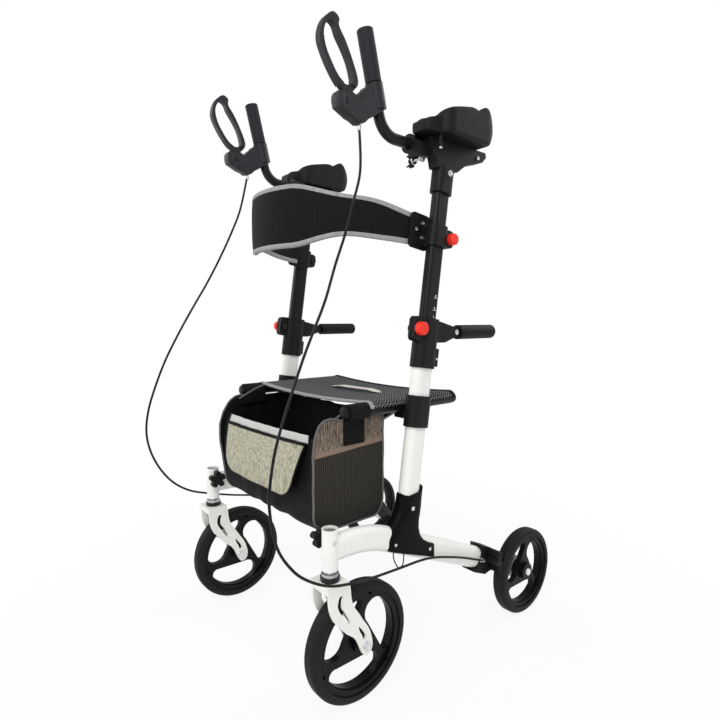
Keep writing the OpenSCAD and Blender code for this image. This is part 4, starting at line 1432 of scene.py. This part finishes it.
@dataclass
class Seat(Sling):
    """Seat cloth over the rails, with bound front and rear edges and a pull strap."""

    front: float = -0.186
    rear: float = 0.06
    sag: float = 0.009
    thickness: float = 0.0026
    lip: float = 0.003
    hollow: float = 0.003
    binding_size: tuple[float, float] = (0.0105, 0.0068)
    strap_half: float = 0.084
    strap_y: float = -0.044
    strap_skew: float = 0.006
    strap_arch: float = 0.0055
    strap_sink: float = 0.001
    strap_size: tuple[float, float] = (0.022, 0.0018)

    def profile(self) -> np.ndarray:
        """Line of the cloth across the seat, round the outer side of both rails.

        Returns:
            Points (x, z), one a row.
        """
        r = self.wrap + self.thickness / 2
        edge = math.asin(self.lip / r)
        bend = np.linspace(edge, math.pi / 2, 9)[:-1]
        right = [(-self.rail_x - r * math.cos(a), self.rail_z + r * math.sin(a)) for a in bend]
        flat = []
        for x in np.linspace(-self.rail_x, self.rail_x, 49):
            flat.append((x, self.rail_z + r - self.sag * (1 - (x / self.rail_x) ** 2)))
        left = [(-x, z) for x, z in right[::-1]]
        return np.array(right + flat + left)

    def build(self) -> None:
        """Builds the cloth, its edge binding and the strap."""
        line = self.profile()
        along = np.concatenate([[0], np.cumsum(np.linalg.norm(np.diff(line, axis=0), axis=1))])
        depths = np.linspace(self.front, self.rear, 42)
        rows = []
        for y in depths:
            middle = 1 - ((y - self.front) / (self.rear - self.front) * 2 - 1) ** 2
            deep = self.hollow * middle
            rows.append([(x, y, z - deep * (1 - min(1, abs(x) / self.rail_x) ** 2)) for x, z in line])
        cloth = grid("seat_cloth", rows, lambda i, j: (float(along[j]), float(depths[i])))
        thicken(cloth, self.thickness)
        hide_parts("seat_panel")
        self.hang(cloth, self.palette.seat, "seat_cloth")
        for name, y in (("seat_binding_front", self.front), ("seat_binding_rear", self.rear)):
            self.binding(name, y)
        self.strap()

    def binding(self, name: str, y: float) -> None:
        """Binds the front or rear edge of the cloth with tape.

        Args:
            name: Name of the piece.
            y: Place of the edge.
        """
        line = self.profile()
        path = np.stack([line[:, 0], np.full(len(line), y), line[:, 1]], 1)
        made = sweep(name, path, lambda share: slab(*self.binding_size, 3.0, 14), (0, 0.001, 1))
        self.hang(made, self.palette.tape if y < 0 else self.palette.nylon, "seat_cloth")

    def strap(self) -> None:
        """Lays the cream pull strap on the seat, sewn down at both ends."""
        x = np.linspace(-self.strap_half, self.strap_half, 25)
        sag = self.sag * (1 - (x / self.rail_x) ** 2)
        top = self.rail_z + self.wrap + self.thickness - sag - self.strap_sink
        arch = self.strap_arch * np.clip(np.cos(x / self.strap_half * math.pi / 2) * 1.6, 0, 1)
        path = np.stack([x, self.strap_y + self.strap_skew * (x / self.strap_half), top + arch], 1)

        def section(share: float) -> np.ndarray:
            """Webbing that narrows to round ends."""
            wide, thick = self.strap_size
            return slab(wide * min(1.0, 0.35 + 9 * min(share, 1 - share)), thick, 4, 12)

        made = sweep("seat_strap", path, section, (0, 0, 1))
        self.hang(made, self.palette.cream, "seat_cloth")


@dataclass
class Bag(Sling):
    """Cloth bag under the seat: side panels with net pockets, open front with a melange pocket."""

    half: float = 0.1975
    back: float = -0.1365
    front: float = -0.310
    floor_z: float = 0.3215
    hem_front: float = 0.465
    hem_rise: float = 0.06
    hem_wide: float = 0.0105
    hem_below_top: tuple[float, float] = (0.002, 0.001)
    top_rear: float = 0.5305
    corner: float = 0.03
    panel: float = 0.0022
    seam: float = 0.0006
    slack_from: tuple[float, float] = (0.43, 0.11)
    slack: tuple[float, float] = (0.04, 0.005)
    lay_from: float = 0.475
    lay_back: float = 0.3
    belly: float = 0.0035
    belly_half: float = 0.083
    belly_z: tuple[float, float] = (0.4, 0.09)
    ripple: float = 0.0006
    sag_most: float = 0.0042
    lean_out: float = 0.09
    floor_y: Point = (-0.255, -0.22, -0.185)
    crease: tuple[float, float] = (0.0022, 0.0012)
    pocket_lift: float = 0.0012
    pipe_size: tuple[float, float] = (0.0044, 0.005)
    pipe_out: float = 0.0002
    pipe_stand: float = 0.0008
    pipe_turn: float = 0.002
    pipe_front_z: float = 0.47
    pipe_rear_z: float = 0.529
    strap_y: tuple[float, float] = (-0.241, -0.189)
    strap_z: Point = (0.4805, 0.495, 0.512)
    strap_bend: tuple[float, float] = (0.0004, 0.525)
    strap_turn: tuple[float, float] = (200, -118)
    strap_gap: float = 0.0013
    strap_out: float = 0.0032
    wing_x: float = 0.1905
    wing_low: float = 0.512
    wing_panel: float = 0.0018
    wing_pipe: float = 0.0024
    tape_half: float = 0.166
    tape_y: float = -0.2997
    tape_z: tuple[float, float] = (0.485, 0.5005)
    tape_panel: float = 0.0016
    tape_fold: float = 0.0012
    tape_tilt: float = 0.003
    tape_lift: float = 0.001
    flap_top: float = 0.4815
    flap_low: float = 0.3745
    flap_corner: float = 0.036
    flap_half: tuple[float, float] = (0.1335, 0.1615)
    flap_y: float = -0.3005
    flap_stand: Point = (0.004, 0.012, 0.002)
    flap_wave: tuple[float, float] = (0.0011, 0.0008)
    flap_panel: float = 0.003
    flap_pipe: tuple[float, float] = (0.0042, 0.0052)

    def top(self, y: float) -> float:
        """Height of the side panel's upper edge."""
        ys, zs = zip(*BAG_TOP, (self.back, self.top_rear))
        return float(np.interp(y, ys, zs))

    def bottom(self, y: float) -> float:
        """Height of the side panel's lower edge, with round corners."""
        return self.floor_z + round_corner(min(y - self.front, self.back - y), self.corner)

    def hem(self, y: float) -> float:
        """Height of the lower edge of the pocket's hem."""
        return self.hem_front + self.hem_rise * (y - self.front)

    def settle(self, x: float, y: float, z: float) -> Point:
        """Lets the far side hang as photographed: its low front corner drawn in, its top laid back.

        Args:
            x: Place across, before.
            y: Place along, before.
            z: Height.

        Returns:
            The point after.
        """
        far = (self.half - x) / (2 * self.half) * clamp((self.back - y) / (self.back - self.front))
        low = far * clamp((self.slack_from[0] - z) / self.slack_from[1])
        lay = self.lay_back * far * max(0.0, z - self.lay_from)
        return (x + self.slack[0] * low, y + lay, z - self.slack[1] * low)

    def swell(self, y: float, z: float) -> float:
        """How far a side panel stands out.

        Args:
            y: Place along.
            z: Height.

        Returns:
            The distance in metres.
        """
        across = max(0.0, 1 - ((y - (self.front + self.back) / 2) / self.belly_half) ** 2)
        up = max(0.0, 1 - ((z - self.belly_z[0]) / self.belly_z[1]) ** 2)
        return self.belly * across * up + self.ripple * math.sin(61 * y + 90 * z)

    def sag(self, x: float) -> float:
        """How far the front's upper edge sags at a place across."""
        return self.sag_most * math.cos(1.5 * x / self.half)

    def build(self) -> None:
        """Builds all pieces of the bag."""
        self.trough()
        for side in Side:
            self.side_panel(side)
            self.piping(side)
            self.rail_strap(side)
            self.gusset(side)
        self.front_hem()
        self.pocket()

    def trough(self) -> None:
        """Front, floor and back in one length of black nylon, creased."""
        bend = [(1 - math.cos(a), 1 - math.sin(a)) for a in np.radians([15, 35, 55, 75])]
        outline = list(BAG_FRONT)
        outline += [(self.front + self.corner * a, self.floor_z + self.corner * b) for a, b in bend]
        outline += [(y, self.floor_z) for y in self.floor_y]
        outline += [(self.back - self.corner * b, self.floor_z + self.corner * a) for a, b in bend]
        outline += [(self.back - lean, z) for lean, z in BAG_REAR]
        steps = 4
        line = smooth_path([(0, y, z) for y, z in outline], steps)
        forth, lift = self.crease
        rows = []
        for k, (_, y, z) in enumerate(line):
            row = []
            for x in np.linspace(-self.half + self.seam, self.half - self.seam, 61):
                inside = max(0.0, 1 - (x / self.half) ** 8)
                crease = math.sin(23 * x + 40 * z) * math.sin(57 * z + 31 * y)
                crease += 0.6 * math.sin(71 * x - 36 * z + 2 * math.sin(19 * x))
                dip = self.sag(x) if k < steps else 0.0
                row.append(self.settle(x, y + forth * inside * crease, z + lift * inside * crease - dip))
            rows.append(row)
        made = grid("bag_trough", rows, lambda i, j: (0.0066 * j, 0.006 * i))
        thicken(made, self.panel)
        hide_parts("bag")
        self.hang(made, self.palette.nylon, "bag_cloth")

    def side_panel(self, side: Side) -> None:
        """Melange panel with a net pocket below its hem, lined in black.

        Args:
            side: The side.
        """
        stretches = (
            (self.front, self.back, 34),
            (self.front, self.front + self.corner, 14),
            (self.back - self.corner, self.back, 12),
        )
        depths = np.unique(np.concatenate([np.linspace(*stretch) for stretch in stretches]))
        shares = [*np.linspace(0, 1, 22), *np.linspace(1, 2, 3)[1:], *np.linspace(2, 3, 11)[1:]]
        rows = []
        for share in shares:
            row = []
            for y in depths:
                low, high = self.bottom(y), self.top(y)
                hem_low = min(self.hem(y), high - self.hem_below_top[0])
                hem_high = min(self.hem(y) + self.hem_wide, high - self.hem_below_top[1])
                z = float(np.interp(share, [0, 1, 2, 3], [low, hem_low, hem_high, high]))
                lift = self.pocket_lift if share <= 2 else 0.0
                row.append(self.settle(side.value * (self.half + self.swell(y, z) + lift), y, z))
            rows.append(row)
        if side is Side.LEFT:
            rows = rows[::-1]
        made = grid(f"bag_side_{side.label}", rows, lambda i, j: (rows[i][j][1], rows[i][j][2]))
        for material in (self.palette.net, self.palette.hem, self.palette.tan, self.palette.nylon):
            made.data.materials.append(material)
        for face in made.data.polygons:
            above = face.center.z - self.hem(face.center.y)
            face.material_index = 0 if above < 0 else 1 if above < self.hem_wide else 2
        if made.data.polygons[0].normal.x * side.value < 0:
            made.data.flip_normals()
        thicken(made, self.panel, -1.0, 3)
        self.hang(made, self.palette.tan, "bag_cloth")

    def piping(self, side: Side) -> None:
        """Grey piping round a side panel.

        Args:
            side: The side.
        """
        ahead, behind = self.front - self.pipe_stand, self.back + self.pipe_stand
        first, last = self.front + self.pipe_turn, self.back - self.pipe_turn
        bend_z = self.floor_z + self.corner
        line = [(y, self.top(y)) for y in np.linspace(self.back, first, 30)]
        line += [(ahead, z) for z in np.linspace(self.pipe_front_z, bend_z, 12)]
        line += [(y, self.bottom(y)) for y in np.linspace(first, last, 26)]
        line += [(behind, z) for z in np.linspace(bend_z, self.pipe_rear_z, 18)]
        path = []
        for y, z in line:
            x = side.value * (self.half + self.swell(y, z) + self.pipe_out)
            path.append(self.settle(x, y, z))
        profile = slab(*self.pipe_size, 2.4, 10)
        made = sweep(f"bag_piping_{side.label}", np.array(path), lambda share: profile, (1, 0, 0))
        self.hang(made, self.palette.piping, "bag_cloth")

    def rail_strap(self, side: Side) -> None:
        """Wide black loop that hangs the bag on its rail.

        Args:
            side: The side.
        """
        r = self.wrap + self.strap_gap
        turns = np.radians(np.linspace(*self.strap_turn, 36))
        loop = [(self.rail_x + r * math.cos(a), self.rail_z + r * math.sin(a)) for a in turns]
        drop = self.half + self.strap_out
        inward, bend_z = self.strap_bend
        line = [(drop, z) for z in self.strap_z] + [(drop - inward, bend_z)] + loop[::-1]
        rows = [[(side.value * x, y, z) for y in np.linspace(*self.strap_y, 9)] for x, z in line]
        made = grid(f"bag_strap_{side.label}", rows, lambda i, j: (0.006 * j, 0.004 * i))
        thicken(made, self.panel)
        self.hang(made, self.palette.nylon, "bag_cloth")

    def gusset(self, side: Side) -> None:
        """Piped wing that ties the panel's front corner up inside the rail.

        Args:
            side: The side.
        """
        x = side.value * self.wing_x
        edge = smooth_path([(x, y, z) for y, z in BAG_WING], 6)
        rows = [[(p[0], p[1], z) for z in np.linspace(p[2], self.wing_low, 6)] for p in edge]
        made = grid(f"bag_wing_{side.label}", rows, lambda i, j: (0.005 * i, 0.006 * j))
        thicken(made, self.wing_panel)
        self.hang(made, self.palette.nylon, "bag_cloth")
        pipe = sweep(f"bag_wing_piping_{side.label}", edge, lambda share: disc(self.wing_pipe, 10), (1, 0, 0))
        self.hang(pipe, self.palette.piping, "bag_cloth")

    def front_hem(self) -> None:
        """Silver tape along the upper edge of the front."""
        rows = []
        for x in np.linspace(-self.tape_half, self.tape_half, 41):
            dip = self.sag(x) - self.tape_lift
            fold = self.tape_fold * math.sin(38 * x) * math.sin(93 * x + 1)
            lift = self.tape_tilt * (x / self.tape_half)
            row = []
            for z in np.linspace(*self.tape_z, 7):
                y = self.tape_y - self.lean_out * (BAG_FRONT[0][1] - z) + fold
                row.append(self.settle(x, y, z - dip + lift))
            rows.append(row)
        made = grid("bag_silver_tape", rows, lambda i, j: (0.008 * i, 0.0026 * j))
        thicken(made, self.tape_panel)
        self.hang(made, self.palette.silver, "bag_cloth")

    def pocket(self) -> None:
        """Melange pocket flap on the front, rounded below and edged in black."""
        top, low, corner = self.flap_top, self.flap_low, self.flap_corner
        half_low, half_top = self.flap_half
        off, bulge, tuck = self.flap_stand
        long_wave, short_wave = self.flap_wave

        def half_at(z: float) -> float:
            """Half width of the flap at a height."""
            full = half_low + (half_top - half_low) * (z - low) / (top - low)
            return full - round_corner(z - low, corner)

        def lie(x: float, z: float) -> Point:
            """Point of the flap: it stands off the front toward its lower edge."""
            down = (top - z) / (top - low)
            stand = off + bulge * math.sin(min(1.0, down * 1.15) * math.pi / 2) - tuck * down**6
            wave = long_wave * math.sin(27 * x + 14 * z) + short_wave * math.sin(64 * x)
            dip = self.sag(x) * (1 - down) - self.tape_lift
            lift = self.tape_tilt * (x / self.tape_half) * (1 - down)
            return (x, self.flap_y - self.lean_out * (top - z) - stand + wave * down, z - dip + lift)

        bend = low + corner * (1 - np.sin(np.radians(np.linspace(0, 88, 12))))
        heights = np.concatenate([np.linspace(top, low + corner, 14)[:-1], bend])
        rows = [[lie(share * half_at(z), z) for share in np.linspace(-1, 1, 45)] for z in heights]
        flap = grid("bag_flap", rows, lambda i, j: (rows[i][j][0], rows[i][j][2]))
        thicken(flap, self.flap_panel)
        self.hang(flap, self.palette.flap, "bag_cloth")
        end, half_end = heights[-1], half_at(heights[-1])
        edge = [lie(half_at(z), z) for z in heights]
        edge += [lie(x, end) for x in np.linspace(half_end, -half_end, 12)[1:-1]]
        edge += [lie(-half_at(z), z) for z in heights[::-1]]
        edge += [lie(x, top) for x in np.linspace(-half_top, half_top, 24)[1:]]
        profile = slab(*self.flap_pipe, 2.4, 10)
        pipe = sweep("bag_flap_edge", np.array(edge), lambda share: profile, (0, 1, 0))
        self.hang(pipe, self.palette.nylon, "bag_cloth")


class Model(Enum):
    """Small parts that are modelled once and copied."""

    SCREW = "domed head with a round socket"
    CAP = "cap with a full round edge"
    WASHER = "flat ring"
    WING = "hub with two ears"
    BLOCK = "block with rounded edges"


class Look(Enum):
    """Finishes of the small parts, by their names in the palette."""

    STEEL = "steel"
    BLACK = "plastic"
    GREY = "plug"

    @property
    def slot(self) -> str:
        """The record's slot for the finish."""
        return "steel" if self is Look.STEEL else "plastic_black"


@dataclass(frozen=True)
class Fastener:
    """A small part of both sides, as it is placed on the left one."""

    name: str
    body: Body
    where: Point
    axis: Point
    diameter: float
    height: float
    look: Look = Look.STEEL


OUT, IN, FRONT, REAR, UP, DOWN = (1, 0, 0), (-1, 0, 0), (0, -1, 0), (0, 1, 0), (0, 0, 1), (0, 0, -1)
TAB_AXIS, FERRULE_AXIS = (0, 0.1426, 0.9898), (0, 0.931, -0.365)
FASTENERS = {
    Model.SCREW: (
        Fastener("bracket_screw_top", Body.FRAME, (FRAME_X + 0.0178, -0.1153, 0.3445), OUT, 0.009, 0.0025),
        Fastener("bracket_screw_low", Body.FRAME, (FRAME_X + 0.0166, -0.1617, 0.2814), OUT, 0.0065, 0.0025),
        Fastener("bracket_screw_rear", Body.FRAME, (FRAME_X + 0.0172, -0.0625, 0.2446), OUT, 0.007, 0.0025),
        Fastener("head_screw", Body.FRAME, (FRAME_X + 0.0142, -0.310, 0.327), OUT, 0.009, 0.0016),
        Fastener("collar_screw", Body.UPPER, (FRAME_X + 0.016, -0.014, 1.0207), OUT, 0.012, 0.004),
        Fastener("rest_screw", Body.UPPER, (FRAME_X + 0.012, 0.083, 1.0712), OUT, 0.008, 0.003),
        Fastener("plate_rivet_top", Body.BACK, (PLATE_X, -0.053, 0.921), OUT, 0.008, 0.002),
        Fastener("plate_rivet_mid", Body.BACK, (PLATE_X, -0.071, 0.908), OUT, 0.008, 0.002),
        Fastener("plate_rivet_low", Body.BACK, (PLATE_X, -0.056, 0.892), OUT, 0.008, 0.002),
        Fastener("clevis_screw", Body.FRAME, (FRAME_X + 0.014, 0.0182, 0.6968), OUT, 0.011, 0.003),
        Fastener("pad_post_end", Body.UPPER, (0.270, -0.05, 1.0645), DOWN, 0.0075, 0.0035),
        Fastener("tab_screw", Body.FRAME, (0.2568, -0.0395, 0.642), OUT, 0.0055, 0.0016),
    ),
    Model.CAP: (
        Fastener("rail_cap_front", Body.RAIL, (RAIL_X, -0.2385, RAIL_Z), FRONT, 0.0242, 0.011, Look.BLACK),
        Fastener("rail_cap_rear", Body.RAIL, (RAIL_X, 0.0635, RAIL_Z), REAR, 0.0242, 0.011, Look.BLACK),
        Fastener("cable_barrel", Body.HANDLE, (LEVER_X, -0.215, 1.0838), DOWN, 0.0085, 0.012),
        Fastener("cable_ferrule", Body.FRAME, (0.268, 0.112, 0.1662), FERRULE_AXIS, 0.0095, 0.016),
        Fastener("clamp_bolt", Body.UPPER, (0.2145, CLAMP_Y, CLAMP_Z), OUT, 0.007, 0.026),
        Fastener("pad_post", Body.UPPER, (0.270, -0.05, 1.0895), DOWN, 0.0095, 0.026, Look.BLACK),
        Fastener("head_plug", Body.FRAME, (FRAME_X, -0.310, 0.3383), UP, 0.0256, 0.0085, Look.GREY),
    ),
    Model.WASHER: (
        Fastener("clamp_washer_0", Body.UPPER, (0.2155, CLAMP_Y, CLAMP_Z), OUT, 0.016, 0.003),
        Fastener("clamp_washer_1", Body.UPPER, (0.2375, CLAMP_Y, CLAMP_Z), OUT, 0.016, 0.003),
    ),
    Model.WING: (
        Fastener("clamp_wing", Body.UPPER, (0.2155, CLAMP_Y, CLAMP_Z), IN, 0.011, 0.011, Look.BLACK),
    ),
    Model.BLOCK: (
        Fastener("collar_tab", Body.FRAME, (0.2505, -0.0428, 0.626), TAB_AXIS, 0.0135, 0.038, Look.BLACK),
    ),
}


@dataclass
class Hardware:
    """Screws, rivets, caps and clamp parts, each modelled once and copied."""

    palette: Palette
    dome: float = 0.16
    socket_wall: float = 0.13
    socket_depth: float = 0.4
    cap_round: float = 0.3
    washer_wall: float = 0.2
    hub_height: float = 0.9
    ear_reach: float = 0.55
    ear_lift: float = 0.35
    ear_middle: float = 0.8
    ear_size: Point = (1, 2.2, 1.25)
    ear_round: float = 0.06
    block_round: float = 0.1
    plate_round: float = 0.0022
    hook_radius: float = 0.0012

    def start(self, sides: int, diameter: float, height: float) -> Obj:
        """Adds a round blank that stands on the origin, in edit mode with nothing selected.

        Args:
            sides: Count of its sides.
            diameter: Its diameter.
            height: Its height.

        Returns:
            The blank.
        """
        bpy.ops.object.select_all(action="DESELECT")
        bpy.ops.mesh.primitive_cylinder_add(
            vertices=sides, radius=diameter / 2, depth=height, location=(0, 0, height / 2)
        )
        bpy.ops.object.transform_apply(location=True, rotation=True, scale=True)
        bpy.ops.object.mode_set(mode="EDIT")
        bpy.ops.mesh.select_mode(type="FACE")
        bpy.ops.mesh.select_all(action="DESELECT")
        return bpy.context.active_object

    @staticmethod
    def pick(made: Obj, test: Callable[[bmesh.types.BMFace], bool]) -> None:
        """Selects the faces that pass a test, in edit mode.

        Args:
            made: The piece.
            test: Whether a face is wanted.
        """
        bm = bmesh.from_edit_mesh(made.data)
        for face in bm.faces:
            face.select = test(face)
        bm.select_flush_mode()
        bmesh.update_edit_mesh(made.data)

    def screw_head(self) -> Obj:
        """Domed head with a round socket, 1 wide and 1 high.

        Returns:
            The model.
        """
        made = self.start(24, 1.0, 1.0)
        self.pick(made, lambda f: f.normal.z > 0.9)
        bpy.ops.mesh.bevel(offset=self.dome, segments=4, affect="EDGES")
        self.pick(made, lambda f: f.normal.z > 0.99 and f.calc_center_median().z > 0.99)
        bpy.ops.mesh.inset(thickness=self.socket_wall)
        bpy.ops.mesh.extrude_region_move(TRANSFORM_OT_translate={"value": (0, 0, -self.socket_depth)})
        return close(made)

    def round_cap(self) -> Obj:
        """Plain cap with a full round edge, 1 wide and 1 high.

        Returns:
            The model.
        """
        made = self.start(32, 1.0, 1.0)
        self.pick(made, lambda f: f.normal.z > 0.9)
        bpy.ops.mesh.bevel(offset=self.cap_round, segments=6, affect="EDGES")
        return close(made)

    def washer(self) -> Obj:
        """Flat ring, 1 wide and 1 high.

        Returns:
            The model.
        """
        made = self.start(28, 1.0, 1.0)
        self.pick(made, lambda f: abs(f.normal.z) > 0.9)
        bpy.ops.mesh.inset(thickness=self.washer_wall, use_individual=True)
        bpy.ops.mesh.bridge_edge_loops()
        bpy.ops.mesh.select_all(action="SELECT")
        bpy.ops.mesh.normals_make_consistent(inside=False)
        return close(made)

    def wing(self) -> Obj:
        """Wing nut: hub with two ears, 1 wide over the hub.

        Returns:
            The model.
        """
        made = self.start(16, 1.0, self.hub_height)
        self.pick(made, lambda f: abs(f.normal.x) > 0.9)
        bpy.ops.mesh.extrude_faces_move(TRANSFORM_OT_shrink_fatten={"value": self.ear_reach})
        bpy.ops.transform.translate(value=(0, 0, self.ear_lift))
        bpy.ops.transform.resize(value=self.ear_size, center_override=(0, 0, self.ear_middle))
        bpy.ops.mesh.select_all(action="SELECT")
        bpy.ops.mesh.bevel(offset=self.ear_round, segments=2, affect="EDGES")
        return close(made)

    def block(self) -> Obj:
        """Small block with rounded edges, 1 wide and 1 high.

        Returns:
            The model.
        """
        made = self.start(4, math.sqrt(2), 1.0)
        bpy.ops.mesh.select_all(action="SELECT")
        bpy.ops.transform.rotate(value=math.radians(45), orient_axis="Z", center_override=(0, 0, 0))
        bpy.ops.mesh.bevel(offset=self.block_round, segments=3, affect="EDGES")
        return close(made)

    def plate(self, name: str, outline: Sequence[tuple[float, float]], x: float, thickness: float) -> Obj:
        """Models a plate across X from its outline.

        Args:
            name: Name of the piece.
            outline: Corners (y, z) in metres.
            x: Middle of the plate.
            thickness: Its thickness.

        Returns:
            The plate.
        """
        made = open_ring(name, [(x - thickness / 2, y, z) for y, z in outline])
        bpy.ops.mesh.extrude_region_move(TRANSFORM_OT_translate={"value": (thickness, 0, 0)})
        bpy.ops.mesh.select_all(action="SELECT")
        bpy.ops.mesh.normals_make_consistent(inside=False)
        bpy.ops.mesh.bevel(offset=self.plate_round, segments=3, affect="EDGES")
        return close(made)

    def put(self, model: Obj, item: Fastener, side: Side) -> None:
        """Copies a model to its place on one side.

        Args:
            model: The model, 1 wide and 1 high.
            item: What to place, and where.
            side: The side.
        """
        copy = bpy.data.objects.new(f"{item.name}_{side.label}", model.data.copy())
        bpy.context.scene.collection.objects.link(copy)
        mirror = Vector((side.value, 1, 1))
        turn = Vector((0, 0, 1)).rotation_difference(Vector(item.axis) * mirror).to_matrix().to_4x4()
        size = Matrix.Diagonal((item.diameter, item.diameter, item.height, 1))
        copy.data.transform(Matrix.Translation(Vector(item.where) * mirror) @ turn @ size)
        copy.data.materials.clear()
        dress(copy, getattr(self.palette, item.look.value), item.body.on(side))

    def build(self) -> None:
        """Models each kind once, places all copies and removes the model."""
        makers = {
            Model.SCREW: self.screw_head, Model.CAP: self.round_cap, Model.WASHER: self.washer,
            Model.WING: self.wing, Model.BLOCK: self.block,
        }
        for kind, items in FASTENERS.items():
            model = makers[kind]()
            for item in items:
                for side in Side:
                    self.put(model, item, side)
            bpy.data.objects.remove(model)
        for side in Side:
            self.cable_hook(side)
            self.hood(side)

    def hood(self, side: Side) -> None:
        """Fills the moulded hood in front of and behind the lever's hub.

        Args:
            side: The side.
        """
        pivot_y, pivot_z = LEVER_PIVOT
        for name, outline in (("hood_front", HOOD_FRONT), ("hood_rear", HOOD_REAR)):
            places = [(pivot_y + y * MM, pivot_z + z * MM) for y, z in outline]
            made = self.plate(f"{name}_{side.label}", places, side.value * LEVER_X, HOOD_WIDE)
            dress(made, self.palette.lever, Body.HANDLE.on(side))

    def cable_hook(self, side: Side) -> None:
        """Wire hook that guides the cable under the lower bracket.

        Args:
            side: The side.
        """
        line = smooth_path([(side.value * x, y, z) for x, y, z in CABLE_HOOK], 8)
        made = sweep(f"cable_hook_{side.label}", line, lambda share: disc(self.hook_radius, 10), (1, 0, 0))
        dress(made, self.palette.cable, Body.FRAME.on(side))


@dataclass
class PostScale:
    """White height marks printed on the outer face of the inner posts."""

    finish: Material
    face_x: float = 0.2581
    print_depth: float = 0.00025
    line: Point = (0.002, 0.012, 0.0011)
    block: Point = (0.0055, 0.0078, 0.0044)
    block_rise: float = 0.0042
    marks: Point = (0.46, 0.478, 0.503)

    def build(self, side: Side) -> None:
        """Lays the marks of one post as one piece.

        Args:
            side: The side.
        """
        up, back = np.array(POST_UP), np.array(POST_BACK)
        foot = np.array(POST_FOOT) + (side.value * self.face_x, 0, 0)
        bars = [(s, *self.line) for s in self.marks]
        bars += [(s + self.block_rise, *self.block) for s in self.marks]
        points, faces = [], []
        for s, y0, y1, tall in bars:
            base = len(points)
            for depth in (0.0, self.print_depth):
                for a, b in ((y0, -tall / 2), (y1, -tall / 2), (y1, tall / 2), (y0, tall / 2)):
                    points.append(foot + up * (s + b) + back * a + np.array([side.value * depth, 0, 0]))
            faces += [[base + i for i in f] for f in BOX_FACES]
        made = piece(f"post_scale_{side.label}", points, faces)
        outward(made)
        made.data.polygons.foreach_set("use_smooth", [False] * len(made.data.polygons))
        dress(made, self.finish, Body.UPPER.on(side))


def main() -> None:
    """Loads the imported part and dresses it."""
    logging.basicConfig(level=logging.INFO, format="%(message)s")
    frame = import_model()
    palette = Palette()
    Studio().build()
    BrakeCable(Side.LEFT, CABLE_LEFT, palette.cable).build()
    BrakeCable(Side.RIGHT, CABLE_RIGHT, palette.cable).build()
    FrameDressing(palette).build(frame["nodes"])
    for side in Side:
        ForearmPad(side, palette.pad).build(frame["nodes"])
        LowerBracket(side, palette.shoe).build(frame["nodes"])
        PostScale(palette.tick).build(side)
    BackBand(palette).build()
    Seat(palette).build()
    Bag(palette).build()
    Hardware(palette).build()


if __name__ == "__main__":
    main()
